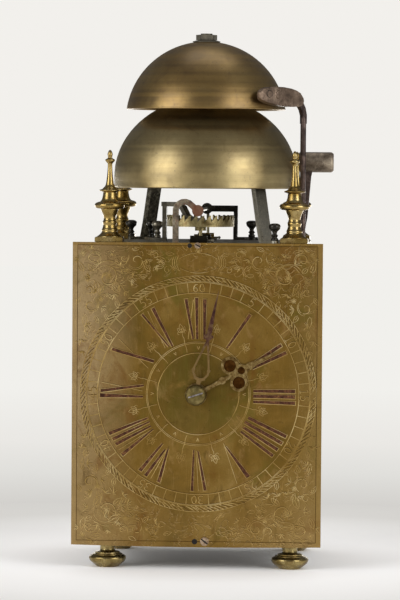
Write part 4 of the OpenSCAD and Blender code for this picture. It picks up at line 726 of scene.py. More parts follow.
# the knobs' profile, as shares of their radius and height
knobShape = dict(radius=4.15, height=12.2, base=231.2, segments=40, profile=[
    (0.0, 0.0), (0.5, 0.0), (0.58, 0.02), (0.62, 0.08), (0.56, 0.14), (0.42, 0.18), (0.46, 0.23),
    (0.6, 0.28), (0.5, 0.33), (0.38, 0.4), (0.42, 0.48), (0.52, 0.55), (0.8, 0.64), (0.94, 0.7),
    (1.0, 0.79), (0.98, 0.87), (0.84, 0.94), (0.55, 0.985), (0.3, 1.0), (0.0, 1.0)])
knobSets = {
    "black_knobs": dict(name="blackKnobs", finish="black_iron", size=1.0,
                        places=[(52, -62), (-56.6, 44), (31.5, 55)]),
    "bracket_knob": dict(name="bracketKnob", finish="grey_iron", size=1.0, places=[(-35, 8)]),
    "bracket_small_knob": dict(name="bracketSmallKnob", finish="black_iron", size=0.75,
                               places=[(-41.5, 30)]),
}
for knobNode, knobs in knobSets.items():
    line = [(r * knobShape["radius"] * knobs["size"], z * knobShape["height"] + knobShape["base"])
            for r, z in flowing(knobShape["profile"])]
    knobFinish = ownFinishes.get(knobNode, finishes[knobs["finish"]])
    made = [turned("knob", line, knobFinish, knobShape["segments"], (x, y, 0))
            for x, y in knobs["places"]]
    settle(joined(knobs["name"], made), "frame", knobs["finish"], knobNode)
print("finials, feet and knobs turned")

# filed iron and steel, each with its body and the width of its worn edges
wornParts = {
    "bell_strap": ("frame", 0.45), "bell_nut": ("frame", 0.35), "bell_washer": ("frame", 0.25),
    "front_verge_cock": ("frame", 0.4), "rear_verge_cock": ("frame", 0.35),
    "crown_bracket": ("frame", 0.35), "upper_hammer_rod": ("upper_hammer", 0.35),
    "upper_hammer_head": ("upper_hammer", 0.8), "lower_hammer_arm": ("lower_hammer", 0.5),
    "lower_hammer_head": ("lower_hammer", 0.4), "hour_hand": ("hour_work", 0.22),
    "minute_hand": ("minute_work", 0.2), "hand_nut": ("minute_work", 0.18),
    "dial_screws": ("frame", 0.15), "dial_plate": ("frame", 0.35),
}
for wornNode, (wornBody, wornEdge) in wornParts.items():
    softened(wornNode, wornBody, wornEdge)
print("filed parts worn:", len(wornParts))

# painted shade: dark discs in the depths of the dial's two empty screw holes
paintedHoleShade = metalFinish("paintedHoleShade", (12, 9, 6), (20, 15, 10), (28, 22, 14), patch=4, metallic=0.0,
                        rough=(0.8, 0.9))
emptyHoles = dict(y=-72.04, thick=0.4, segments=28,
                  places=[(-7.1, 227.5, 1.6), (-2.2, 19.55, 1.95)])
settle(joined("emptyHoles", [
    disc("hole", radius, emptyHoles["thick"], paintedHoleShade, (x, emptyHoles["y"], z),
         emptyHoles["segments"])
    for x, z, radius in emptyHoles["places"]]), "frame", "aged_brass")

# painted shade: dark floors laid in the two dial screws' slots
screwSlots = dict(y=-73.09, thick=0.3, bars=[dict(x=-1.5, z=227.7, length=4.0, width=0.75, turn=32),
                                             dict(x=4.8, z=19.75, length=5.7, width=1.0, turn=38)])


def slotBar(name, x, y, z, length, width, thick, turn, finish):
    # a thin bar that lies in a screw's slot, turned round the Y axis
    bar = newPiece(name, [
        (along * length / 2, lift * thick / 2, side * width / 2)
        for along in (-1, 1) for side in (-1, 1) for lift in (-1, 1)],
        [(0, 1, 3, 2), (4, 6, 7, 5), (0, 4, 5, 1), (2, 3, 7, 6), (0, 2, 6, 4), (1, 5, 7, 3)])
    bar.data.transform(placedAt(x, y, z) @ Matrix.Rotation(math.radians(turn), 4, "Y"))
    bar.data.materials.append(finish)
    tidySurface(bar, 30)
    return bar


settle(joined("screwSlots", [
    slotBar("slot", y=screwSlots["y"], thick=screwSlots["thick"], finish=paintedHoleShade, **bar)
    for bar in screwSlots["bars"]]), "frame", "steel")

# painted shade: the dark red-brown that fills the hour hand's three eyes, where the dial lies in
# the hand's shadow; across the hand, along it, radius
eyes = dict(x=-1.8, y=-74.0, z=123.2, turn=61.5, thick=0.3, segments=32,
            places=[(-6.7, 30.5, 4.5), (6.7, 30.5, 4.5), (0, 36, 2.8)])
paintedEyeShade = metalFinish("eyeShade", (58, 34, 12), (78, 48, 18), (98, 64, 28), patch=3,
                        rough=(0.55, 0.7))


def eyePlace(across, along):
    turn = math.radians(eyes["turn"])
    return (eyes["x"] + across * math.cos(turn) + along * math.sin(turn), eyes["y"],
            eyes["z"] - across * math.sin(turn) + along * math.cos(turn))


settle(joined("hourHandEyeShades", [
    disc("eye", radius, eyes["thick"], paintedEyeShade, eyePlace(across, along), eyes["segments"])
    for across, along, radius in eyes["places"]]), "hour_work", "steel")

# the rivet on the upper hammer head's front cheek, with a ring of painted shade round it
headRivet = dict(at=(47.2, -44.3, 334.6), facing=(0.63, -0.777, 0), segments=32, parts=dict(
    rivet=[(0, -0.4), (2.3, -0.4), (2.3, 0.25), (1.84, 0.45), (0, 0.5)],
    rivetShadeRing=[(2.2, -0.4), (2.65, -0.4), (2.65, 0.12), (2.2, 0.12), (2.2, -0.4)]))
rivetFinishes = dict(rivet=ownFinishes["upper_hammer_head"], rivetShadeRing=paintedHoleShade)
settle(joined("headRivet", [
    turned(name, side, rivetFinishes[name], headRivet["segments"], headRivet["at"],
           headRivet["facing"])
    for name, side in headRivet["parts"].items()]), "upper_hammer", "brown_iron")

# painted highlight: the bright floor of the nut's slot
nutSlot = dict(x=-1.8, y=-82.5, z=123.2, length=10.8, width=0.9, thick=0.2, turn=-18)
paintedSlotHighlight = metalFinish("paintedSlotHighlight", (90, 78, 84), (176, 168, 170), (230, 226, 228), patch=1.8,
                        rough=(0.3, 0.45))
settle(slotBar("nutSlotFloor", finish=paintedSlotHighlight, **nutSlot), "minute_work", "steel")

# the dial's engraving, in millimetres from the middle of its rings
dialCentre = dict(x=-0.4, z=123.6, face=-72.0, left=-88.85, right=86.65, low=-107.1, top=105.9)


def graverTree():
    # a thin raised bright line along every edge of the given drawing
    tree, given = newTree("graverLines", [
        ("Relief", "NodeSocketFloat", 0.3), ("Finish", "NodeSocketMaterial", None)])
    curve = addNode(tree, "GeometryNodeMeshToCurve", {"Mesh": given.outputs[0]})
    upright = addNode(tree, "GeometryNodeSetCurveNormal", {"Curve": curve.outputs[0]}, mode="Z_UP")
    breadth = addNode(tree, "GeometryNodeInputNamedAttribute", {"Name": "breadth"},
                      data_type="FLOAT")
    section = addNode(tree, "GeometryNodeCurvePrimitiveCircle", {"Resolution": 4, "Radius": 0.5})
    flat = addNode(tree, "GeometryNodeTransform", {
        "Geometry": section.outputs[0],
        "Scale": addNode(tree, "ShaderNodeCombineXYZ", {
            "X": 1.0, "Y": given.outputs["Relief"], "Z": 1.0}).outputs[0]})
    line = addNode(tree, "GeometryNodeCurveToMesh", {
        "Curve": upright.outputs[0], "Profile Curve": flat.outputs[0],
        "Scale": breadth.outputs[0], "Fill Caps": True})
    stood = addNode(tree, "GeometryNodeTransform", {
        "Geometry": line.outputs[0], "Rotation": (math.pi / 2, 0, 0)})
    return endTree(tree, given, stood.outputs[0])


def ringMarksTree():
    # bars set round a circle, all at one lean, like a graver's strokes
    tree, given = newTree("ringMarks", [
        ("Count", "NodeSocketInt", 60), ("Skip", "NodeSocketInt", 1000),
        ("Radius", "NodeSocketFloat", 0.07),
        ("Length", "NodeSocketFloat", 0.007), ("Breadth", "NodeSocketFloat", 0.0004),
        ("Height", "NodeSocketFloat", 0.0001), ("Lean", "NodeSocketFloat", 0.0),
        ("Unevenness", "NodeSocketFloat", 0.03), ("Seed", "NodeSocketInt", 1),
        ("Finish", "NodeSocketMaterial", None)])
    circle = addNode(tree, "GeometryNodeMeshCircle", {
        "Vertices": given.outputs["Count"], "Radius": given.outputs["Radius"]})
    bar = addNode(tree, "GeometryNodeMeshCube", {
        "Size": addNode(tree, "ShaderNodeCombineXYZ", {
            "X": given.outputs["Breadth"], "Y": given.outputs["Length"],
            "Z": given.outputs["Height"]}).outputs[0]})
    step = calc(tree, "DIVIDE", 2 * math.pi, given.outputs["Count"])
    number = addNode(tree, "GeometryNodeInputIndex").outputs[0]
    angle = product(tree, number, step)
    shake = addNode(tree, "FunctionNodeRandomValue", {
        "Min": -1.0, "Max": 1.0, "Seed": given.outputs["Seed"]}, data_type="FLOAT")
    shakeOut = [o for o in shake.outputs if o.enabled][0]
    lean = calc(tree, "ADD", given.outputs["Lean"],
                product(tree, shakeOut, given.outputs["Unevenness"]))
    spin = calc(tree, "ADD", calc(tree, "SUBTRACT", angle, math.pi / 2), lean)
    bars = addNode(tree, "GeometryNodeInstanceOnPoints", {
        "Points": circle.outputs[0], "Instance": bar.outputs[0],
        "Selection": calc(tree, "FLOORED_MODULO", number, given.outputs["Skip"]),
        "Rotation": addNode(tree, "ShaderNodeCombineXYZ", {"Z": spin}).outputs[0]})
    stood = addNode(tree, "GeometryNodeTransform", {
        "Geometry": bars.outputs[0], "Rotation": (math.pi / 2, 0, 0)})
    return endTree(tree, given, stood.outputs[0])


graverLines = graverTree()
ringMarks = ringMarksTree()
# bright cut brass, lightened as the lit lower wall of each cut: partly the metal's own colour,
# partly painted highlight
litCutFinish = metalFinish("graverCutLit", (150, 118, 58), (200, 168, 104), (244, 220, 162), patch=24,
                        rough=(0.28, 0.4))
# dark scribed lines of the border, and the painted shade lines beside the bright cuts
scribeAndShadeFinish = metalFinish("scribedLineAndShade", (58, 38, 18), (78, 54, 24), (98, 70, 34), patch=12,
                           rough=(0.4, 0.5))
# painted shade between the rope's bright strands
ropeShade = metalFinish("ropeShade", (74, 50, 22), (94, 68, 32), (112, 84, 42), patch=12,
                        rough=(0.4, 0.5))


def waxFinish(look):
    # dark wax in the numerals, worn through to the brass in specks
    material, tree, coords = newMaterial("numeralWax")
    clouds = noise(tree, coords, look["scale"], 5, 0.7, 0.6)
    colour = colourRamp(tree, clouds, [(stop, tone(*tint)) for stop, tint in look["colours"]])
    shader = addNode(tree, "ShaderNodeBsdfPrincipled", {
        "Base Color": colour, "Metallic": spread(tree, clouds, *look["wornThrough"]),
        "Normal": bumped(tree, clouds, look["relief"]), "Specular IOR Level": look["gloss"],
        "Roughness": spread(tree, clouds, *metalWear["cloudReach"], *look["rough"])})
    addNode(tree, "ShaderNodeOutputMaterial", {"Surface": shader.outputs[0]})
    return material


wax = waxFinish(dict(
    scale=420, relief=0.1, gloss=0.15, rough=(0.42, 0.6), wornThrough=(0.6, 0.68),
    colours=((0.3, (46, 22, 10)), (0.46, (68, 38, 22)), (0.6, (98, 62, 40)),
             (0.68, (150, 114, 62)))))

# where the painted shade line of each cut lies from its bright one
graverShade = (0.12, 0.03, 0.36)


def onDial(piece):
    piece.data.transform(placedAt(dialCentre["x"], dialCentre["face"], dialCentre["z"]))
    return piece


class Drawing:
    # gathers the lines of an engraving before they are cut
    def __init__(self, seed, wear=0.0):
        self.points, self.edges, self.breadths = [], [], []
        self.chance = random.Random(seed)
        self.wear = wear

    def line(self, points, breadth, taper=0.0, closed=False):
        start = len(self.points)
        last = len(points) - 1
        for k, (u, v) in enumerate(points):
            ends = 1 - taper * abs(2 * k / max(last, 1) - 1)
            self.points.append((u, v, 0))
            self.breadths.append(breadth * ends * mm)
        self.edges += [(start + k, start + k + 1) for k in range(last)
                       if self.chance.random() >= self.wear]
        if closed:
            self.edges.append((start + last, start))

    def circle(self, radius, breadth, steps, wobble):
        phase = self.chance.uniform(0, 6)
        ring = []
        for k in range(steps):
            turn = 2 * math.pi * k / steps
            reach = radius + wobble * math.sin(3 * turn + phase)
            ring.append((reach * math.cos(turn), reach * math.sin(turn)))
        self.line(ring, breadth, closed=True)

    def arc(self, middle, radius, start, end, breadth, steps, shrink=0.0, taper=0.7):
        # from start to end in degrees; shrink draws it in to a spiral
        line = []
        for k in range(steps + 1):
            turn = math.radians(start + (end - start) * k / steps)
            reach = radius * (1 - shrink * k / steps)
            line.append((middle[0] + reach * math.cos(turn), middle[1] + reach * math.sin(turn)))
        self.line(line, breadth, taper)

    def leaf(self, foot, aimed, length, fat, breadth=0.35):
        # two sides that meet in a tip, and a short rib
        along = Vector((math.cos(math.radians(aimed)), math.sin(math.radians(aimed))))
        across = Vector((-along.y, along.x))
        for side in (-1, 1):
            self.line([tuple(Vector(foot) + along * length * t
                             + across * side * fat * math.sin(math.pi * t ** 0.8))
                       for t in (k / 7 for k in range(8))], breadth, 0.5)
        self.line([tuple(Vector(foot) + along * length * t) for t in (0.15, 0.6)], breadth * 0.8)

    def cut(self, name, finish=None, relief=0.3):
        piece = newPiece(name, self.points, edges=self.edges)
        attribute = piece.data.attributes.new("breadth", "FLOAT", "POINT")
        attribute.data.foreach_set("value", self.breadths)
        runTree(piece, graverLines, {"Relief": relief, "Finish": finish or litCutFinish})
        tidySurface(onDial(piece), 60)
        return piece

    def relieved(self, name):
        # each bright line, a painted highlight on the cut's lower wall, with its own dark one a
        # little above it and behind it as painted shade on the upper wall
        bright = self.cut(name)
        shade = addObject(name + "Shade", bright.data.copy())
        shade.data.materials.clear()
        shade.data.materials.append(scribeAndShadeFinish)
        shade.data.transform(placedAt(*graverShade))
        return [bright, shade]


def clockwise(radius, degrees):
    # a point of the dial by its radius and its angle from twelve
    angle = math.radians(90 - degrees)
    return (radius * math.cos(angle), radius * math.sin(angle))


# the radius and breadth of each ring
ringShape = dict(steps=240, wobble=0.08, seed=3, circles=[
    (28.7, 0.5), (35.6, 0.45), (36.5, 0.4), (70.8, 0.55), (78.3, 0.45), (78.9, 0.35), (82.9, 0.4)])
rings = Drawing(ringShape["seed"])
for radius, breadth in ringShape["circles"]:
    rings.circle(radius, breadth, ringShape["steps"], ringShape["wobble"])

# a wavy stem with three leaves and two curls at each half hour, and a small arrow at each hour
halfHours = dict(
    stem=range(30, 45, 2), wave=0.4, breadth=0.45, top=44.5, leafBreadth=0.42, leaf=6.2, fat=1.5,
    leaves=((-38, 0.75), (0, 1.0), (38, 0.75)), curls=(-2.88, 2.88), curl=1.0, curlBreadth=0.34,
    curlTurn=300, curlSteps=8, arrow=(31.2, 33.4), arrowSpread=(1.4, -1.4))
for half in range(12):
    at = 15 + 30 * half
    rings.line([clockwise(r, at + halfHours["wave"] * math.sin(r)) for r in halfHours["stem"]],
               halfHours["breadth"], 0.3)
    for lean, size in halfHours["leaves"]:
        rings.leaf(clockwise(halfHours["top"], at), 90 - at - lean, halfHours["leaf"] * size,
                   halfHours["fat"] * size, halfHours["leafBreadth"])
    for lean in halfHours["curls"]:
        rings.arc(clockwise(halfHours["top"], at + lean), halfHours["curl"], 0,
                  halfHours["curlTurn"], halfHours["curlBreadth"], halfHours["curlSteps"])
    for lean in halfHours["arrowSpread"]:
        rings.line([clockwise(halfHours["arrow"][0], at - 15),
                    clockwise(halfHours["arrow"][1], at - 15 + lean)], halfHours["breadth"])

# the strokes of each hour: inner radius, lean, breadth, then the same at the outer end
hourStrokes = {
    12: [(38.5, -5.6, 1.1, 67.0, -7.7, 2.0), (38.4, -1.4, 1.3, 67.3, -1.3, 2.1),
         (38.6, 6.1, 1.5, 66.5, 3.6, 2.4)],
    1: [(37.9, 1.6, 1.3, 66.5, 2.8, 2.1)],
    2: [(41.2, 1.0, 1.8, 67.6, -1.0, 2.2), (42.0, 4.2, 1.5, 68.2, 4.3, 2.4)],
    3: [(38.8, -3.5, 1.8, 68.0, -2.1, 2.4), (38.7, 1.9, 2.0, 68.0, 1.2, 2.5),
        (39.1, 7.6, 1.7, 68.2, 4.9, 2.4)],
    4: [(38.8, -5.1, 2.0, 68.5, -4.6, 2.3), (38.1, 0.6, 2.0, 68.2, 0.0, 2.3),
        (39.0, 6.0, 1.8, 67.9, 4.6, 2.2), (39.9, 11.0, 1.5, 67.9, 9.2, 2.2)],
    5: [(41.6, 1.9, 0.7, 68.0, -1.6, 2.9)],
    6: [(39.6, 4.1, 0.8, 68.3, 3.2, 1.8), (40.2, -0.3, 1.0, 68.0, -4.6, 2.0)],
    7: [(43.0, 5.2, 1.0, 67.8, 6.7, 2.4), (45.7, 0.3, 1.0, 68.5, 2.3, 2.2),
        (43.9, -1.7, 1.0, 68.0, -6.3, 2.2)],
    8: [(38.8, 3.8, 1.0, 68.6, 5.4, 2.4), (39.3, -0.3, 1.0, 68.0, 1.5, 2.2),
        (40.2, -4.7, 1.0, 67.9, -2.0, 2.2), (40.3, -8.6, 0.7, 68.7, -9.2, 2.4)],
    9: [(38.7, 8.3, 1.3, 68.5, 1.3, 2.0), (38.8, -3.4, 1.3, 69.0, -1.4, 2.9)],
    10: [(38.5, 5.7, 1.8, 68.1, -3.0, 2.0)],
    11: [(37.8, 1.2, 1.3, 68.0, 1.7, 2.3), (39.1, -2.1, 1.1, 68.1, -5.6, 1.3)],
}
# the thin strokes that were only cut, not filled
thinStrokes = {
    12: [(39.1, -10.8, 66.3, -3.3), (38.4, 2.6, 66.3, 0.9)], 1: [], 2: [], 3: [], 4: [],
    5: [(39.1, 2.4, 68.5, 6.1)], 6: [(39.8, 1.6, 68.2, -0.6)], 7: [(44.5, -1.2, 68.2, -1.2)],
    8: [(42.0, -7.8, 68.4, -5.6)], 9: [(39.2, 2.4, 68.6, 6.4)], 10: [(39.4, -3.4, 67.8, 4.2)],
    11: [(39.5, -6.2, 68.0, -1.8)],
}
# an outline is which side of the stroke it lies on, its gap and its breadth; the first and wider
# one is a painted highlight on the stroke's lit lower side
numeralShape = dict(height=0.12, foot=0.05, steps=7, rough=0.09, seed=11,
                    outlines=((1, 0.22, 0.56), (-1, 0.18, 0.4)), serif=(0.4, 1.4, 0.45), thin=0.42)


def waxStroke(points, faces, inner, outer, widths, chance):
    # a filled stroke as a low bar with uneven sides
    first = Vector(clockwise(*inner))
    last = Vector(clockwise(*outer))
    along = (last - first).normalized()
    across = Vector((-along.y, along.x))
    steps, base = numeralShape["steps"], len(points)
    for k in range(steps + 1):
        spot = first.lerp(last, k / steps)
        half = (widths[0] + (widths[1] - widths[0]) * k / steps) / 2
        for side in (-1, 1):
            edge = spot + across * side * (half + chance.uniform(-1, 1) * numeralShape["rough"])
            for lift in (numeralShape["foot"], -numeralShape["height"]):
                points.append((dialCentre["x"] + edge.x, dialCentre["face"] + lift,
                               dialCentre["z"] + edge.y))
    for k in range(steps):
        at = base + 4 * k
        faces += [(at + 1, at + 3, at + 7, at + 5), (at, at + 1, at + 5, at + 4),
                  (at + 2, at + 6, at + 7, at + 3), (at, at + 4, at + 6, at + 2)]
    end = base + 4 * steps
    faces += [(base, base + 2, base + 3, base + 1), (end, end + 1, end + 3, end + 2)]
    return across


chance = random.Random(numeralShape["seed"])
waxPoints, waxFaces = [], []
for hour, strokes in hourStrokes.items():
    for rIn, leanIn, wIn, rOut, leanOut, wOut in strokes:
        inner, outer = (rIn, 30 * hour + leanIn), (rOut, 30 * hour + leanOut)
        across = waxStroke(waxPoints, waxFaces, inner, outer, (wIn, wOut), chance)
        # the side of each stroke that faces down, whose wall catches the light from above, takes
        # the wider outline
        lit = across if across.y < 0 or (across.y == 0 and across.x < 0) else -across
        for side, gap, breadth in numeralShape["outlines"]:
            rings.line([tuple(Vector(clockwise(*end)) + lit * side * (width / 2 + gap))
                        for end, width in ((inner, wIn), (outer, wOut))], breadth)
        beyond, spreadOut, breadth = numeralShape["serif"]
        rings.line([clockwise(rOut + beyond, 30 * hour + leanOut + way * spreadOut)
                    for way in (-1, 1)], breadth)
    for rIn, leanIn, rOut, leanOut in thinStrokes[hour]:
        rings.line([clockwise(rIn, 30 * hour + leanIn), clockwise(rOut, 30 * hour + leanOut)],
                   numeralShape["thin"])
waxPiece = newPiece("dialNumerals", waxPoints, waxFaces)
waxPiece.data.materials.append(wax)
tidySurface(waxPiece, 30)
settle(waxPiece, "frame", "aged_brass")

# figures as strokes in a box one wide and one and a half high
figures = {
    "0": [[(0.5, 0), (0.12, 0.3), (0.08, 0.75), (0.2, 1.25), (0.5, 1.5), (0.8, 1.25), (0.92, 0.75),
           (0.88, 0.3), (0.5, 0)]],
    "1": [[(0.25, 1.2), (0.55, 1.5), (0.55, 0)], [(0.25, 0), (0.85, 0)]],
    "2": [[(0.1, 1.15), (0.3, 1.45), (0.7, 1.45), (0.88, 1.1), (0.7, 0.7), (0.1, 0.02),
           (0.95, 0.05)]],
    "3": [[(0.12, 1.35), (0.5, 1.5), (0.85, 1.2), (0.75, 0.85), (0.4, 0.78), (0.85, 0.6),
           (0.88, 0.25), (0.5, 0), (0.1, 0.12)]],
    "4": [[(0.7, 0), (0.7, 1.5), (0.05, 0.45), (0.98, 0.45)]],
    "5": [[(0.85, 1.48), (0.25, 1.48), (0.18, 0.85), (0.6, 0.92), (0.9, 0.6), (0.82, 0.2),
           (0.45, 0), (0.1, 0.14)]],
    "6": [[(0.85, 1.4), (0.45, 1.3), (0.15, 0.75), (0.15, 0.3), (0.5, 0), (0.85, 0.3), (0.75, 0.72),
           (0.4, 0.78), (0.15, 0.45)]],
}
minuteFigures = dict(radius=74.5, width=3.7, height=3.9, gap=0.9, breadth=0.62)
for five in range(1, 13):
    written = str(5 * five)
    middle = Vector(clockwise(minuteFigures["radius"], 30 * five))
    out = middle.normalized()
    across = Vector((out.y, -out.x))
    pitch = minuteFigures["width"] + minuteFigures["gap"]
    for place, figure in enumerate(written):
        shift = (place - (len(written) - 1) / 2) * pitch
        for stroke in figures[figure]:
            rings.line([tuple(middle + across * (shift + (x - 0.5) * minuteFigures["width"])
                              + out * (y - 0.75) * minuteFigures["height"]) for x, y in stroke],
                       minuteFigures["breadth"])
ringPieces = rings.relieved("dialRings")

# bars round the rings, in mm; the Skip-th ones are left out
markSets = {
    "minuteMarks": dict(Count=60, Skip=5, Radius=74.5, Length=7.0, Breadth=0.44, Height=0.16,
                        Lean=0.0, Unevenness=0.03, Seed=2, Finish=litCutFinish),
    "ropeMarks": dict(Count=150, Skip=11, Radius=80.9, Length=7.0, Breadth=0.42, Height=0.16,
                      Lean=1.02, Unevenness=0.12, Seed=7, Finish=litCutFinish),
    "ropeHairs": dict(Count=131, Skip=3, Radius=80.6, Length=4.4, Breadth=0.36, Height=0.16,
                      Lean=1.3, Unevenness=0.25, Seed=8, Finish=litCutFinish),
    # dark bars of painted shade between the rope's bright strands
    "ropeShades": dict(Count=143, Skip=1000, Radius=81.1, Length=6.4, Breadth=0.4, Height=0.12,
                       Lean=1.05, Unevenness=0.15, Seed=9, Finish=ropeShade),
}


def cutMarks(name, marks):
    piece = newPiece(name, [])
    runTree(piece, ringMarks, {
        label: value * mm if label in ("Radius", "Length", "Breadth", "Height") else value
        for label, value in marks.items()})
    return onDial(piece)


markPieces = [cutMarks(name, marks) for name, marks in markSets.items()]

# scrolls and sprigs in the corners, each corner drawn afresh from its own seed
cornerArt = dict(
    seed=20, breadth=0.66, wear=0.05, shake=1.1, curl=0.82, curlSteps=26, swing=12,
    leafBreadth=0.42,
    # a short second curl outside each volute, as shares of the first
    echo=dict(size=1.16, turn=0.35, breadth=0.7, steps=10, curl=0.2),
    petal=dict(start=17, fat=0.34, breadth=0.36),
    tuft=dict(blades=5, fan=24, stray=8, bend=0.22, lengths=(0.6, 1.1),
              along=(0.15, 0.4, 0.7, 1.0), taper=0.6),
    # across, up, size, start, turn, all from the corner inwards
    volutes=[
        (25, 24, 9.5, 200, 430), (13.5, 12.5, 5.2, 20, -380), (45, 12.5, 6.0, 150, -400),
        (12.0, 45, 5.6, 300, 400), (35.5, 11.5, 3.6, 330, 330), (11, 33.5, 3.4, 120, -330),
        (58.5, 8.5, 3.4, 180, 360)],
    # across, up, the way it points, length, breadth
    leaves=[
        (27, 15.5, 20, 11, 2.2), (16, 27, 70, 11, 2.2), (20.5, 31.5, 115, 6.5, 1.6),
        (33, 22, 335, 7.5, 1.7), (8, 20, 250, 8, 1.7), (20, 8, 190, 8, 1.7), (50, 16.5, 40, 6, 1.4),
        (16, 51.5, 60, 6, 1.4), (8, 52, 95, 8, 1.5), (53, 6.5, 350, 7, 1.4), (9, 62, 80, 6.5, 1.3),
        (66, 7, 10, 6, 1.3), (38, 25, 20, 7, 1.6), (30, 41, 75, 6.5, 1.5), (24, 50, 60, 5.5, 1.3),
        (47, 24, 350, 5.5, 1.3), (6, 38, 120, 6, 1.3), (41, 5.5, 340, 6, 1.3),
        (15, 20, 225, 6, 1.5), (29, 29, 45, 8, 1.8)],
    # across, up, size, petals
    flowers=[(25, 24, 3.0, 5), (38.5, 19, 2.0, 5), (19.5, 40.5, 2.0, 5), (7.5, 7.5, 2.2, 4)],
    # across, up, the way they point, size
    tufts=[
        (33, 29, 30, 5.5), (30, 35, 60, 5), (19, 16, 225, 5), (43, 20, 80, 4.5), (20, 46, 10, 4.5),
        (52, 11, 60, 4.5), (10, 57, 20, 4.5), (12, 26, 170, 4), (27, 10, 270, 4), (62, 12, 100, 4),
        (37, 34, 45, 4), (24, 36, 80, 4.5), (40, 28, 10, 4), (6, 68, 85, 5), (8, 76, 95, 4),
        (58, 17, 30, 3.5), (16, 36, 190, 3.5), (34, 16, 260, 3.5), (22, 21, 45, 4.5),
        (5, 12, 180, 3.5), (13, 5, 250, 3.5)])


def cornerSpray(sx, sy, seed):
    art = Drawing(seed, cornerArt["wear"])
    echo, petal, tuft = cornerArt["echo"], cornerArt["petal"], cornerArt["tuft"]
    edge = (dialCentre["right"] if sx > 0 else -dialCentre["left"],
            dialCentre["top"] if sy > 0 else -dialCentre["low"])

    def spot(across, up):
        shake = art.chance.uniform(-cornerArt["shake"], cornerArt["shake"])
        return (sx * (edge[0] - across - shake), sy * (edge[1] - up + shake))

    def faced(degrees):
        way = Vector((-sx * math.cos(math.radians(degrees)), -sy * math.sin(math.radians(degrees))))
        return math.degrees(math.atan2(way.y, way.x))

    for across, up, size, start, turn in cornerArt["volutes"]:
        begin = faced(start)
        art.arc(spot(across, up), size, begin, begin + sx * sy * turn, cornerArt["breadth"],
                cornerArt["curlSteps"], cornerArt["curl"])
        art.arc(spot(across, up), size * echo["size"], begin, begin + sx * sy * turn * echo["turn"],
                cornerArt["breadth"] * echo["breadth"], echo["steps"], echo["curl"])
    for across, up, aimed, length, fat in cornerArt["leaves"]:
        foot, swing = spot(across, up), art.chance.uniform(-cornerArt["swing"], cornerArt["swing"])
        art.leaf(foot, faced(aimed) + swing, length, fat, cornerArt["leafBreadth"])
    for across, up, size, count in cornerArt["flowers"]:
        middle = spot(across, up)
        for number in range(count):
            art.leaf(middle, 360 / count * number + petal["start"], size, size * petal["fat"],
                     petal["breadth"])
    for across, up, aimed, size in cornerArt["tufts"]:
        foot, way = spot(across, up), faced(aimed)
        for blade in range(tuft["blades"]):
            lean = ((blade - tuft["blades"] / 2) * tuft["fan"]
                    + art.chance.uniform(-tuft["stray"], tuft["stray"]))
            along = Vector((math.cos(math.radians(way + lean)), math.sin(math.radians(way + lean))))
            outward = Vector((-along.y, along.x)) * tuft["bend"] * (1 if lean > 0 else -1)
            length = size * art.chance.uniform(*tuft["lengths"])
            art.line([tuple(Vector(foot) + (along + outward * t * t) * length * t)
                      for t in tuft["along"]], cornerArt["breadth"], tuft["taper"])
    return art.relieved("cornerSpray")


cornerPieces = [piece for sx in (-1, 1) for sy in (-1, 1)
                for piece in cornerSpray(sx, sy, cornerArt["seed"] + 3 * sx + sy)]

# the empty cartouche over twelve, with ribbed ends
panel = dict(
    u=-0.7, v=91.3, half=13.5, seed=31, wear=0.05, breadth=0.5,
    # up, radius, start, turn
    rims=((-16, 23.5, 90, -34), (19, 25.5, 270, 30)), rimSteps=12, rimTaper=0.3,
    ribs=4, pitch=1.5, ribTaper=0.5,
    # inwards, up, and how much each further rib draws in
    ribLine=((1.2, 5.8, -0.5), (0, 2.4, 0), (0.2, -1.6, 0), (2.2, -5.2, 0.6)),
    curl=dict(out=21.5, up=-4.5, radius=2.6, turn=380, breadth=0.45, steps=16, shrink=0.8),
    # out, up, lean, length, breadth
    leaves=((22.5, 1, 62, 8, 1.6), (24, -2, 96, 7, 1.4)),
    sprig=dict(up=7.6, leans=(-32, 0, 32), length=4.4, fat=1.1))
cartouche = Drawing(panel["seed"], panel["wear"])
curl, sprig = panel["curl"], panel["sprig"]
for side in (-1, 1):
    for rise, radius, start, turn in panel["rims"]:
        cartouche.arc((panel["u"], panel["v"] + rise), radius, start, start + side * turn,
                      panel["breadth"], panel["rimSteps"], taper=panel["rimTaper"])
    for rib in range(panel["ribs"]):
        tip = panel["u"] + side * (panel["half"] + panel["pitch"] + panel["pitch"] * rib)
        cartouche.line([(tip - side * inwards, panel["v"] + up + rib * closer)
                        for inwards, up, closer in panel["ribLine"]],
                       panel["breadth"], panel["ribTaper"])
    cartouche.arc((panel["u"] + side * curl["out"], panel["v"] + curl["up"]), curl["radius"], 90,
                  90 - side * curl["turn"], curl["breadth"], curl["steps"], curl["shrink"])
    for out, up, lean, length, fat in panel["leaves"]:
        cartouche.leaf((panel["u"] + side * out, panel["v"] + up), 90 - side * lean, length, fat)
for lean in sprig["leans"]:
    cartouche.leaf((panel["u"], panel["v"] + sprig["up"]), 90 + lean, sprig["length"], sprig["fat"])
cornerPieces += cartouche.relieved("cartoucheLines")

# the scribed border, set in from the plate's edges
frameLines = dict(side=3.6, top=2.0, low=3.2, breadth=0.55, relief=0.2, seed=5)
left, right = dialCentre["left"] + frameLines["side"], dialCentre["right"] - frameLines["side"]
low, top = dialCentre["low"] + frameLines["low"], dialCentre["top"] - frameLines["top"]
border = Drawing(frameLines["seed"])
border.line([(left, low), (right, low), (right, top), (left, top)], frameLines["breadth"],
            closed=True)
borderPiece = border.cut("borderLines", scribeAndShadeFinish, frameLines["relief"])
settle(joined("dialEngraving", ringPieces + [borderPiece] + markPieces + cornerPieces),
       "frame", "aged_brass")
print("dial engraved")

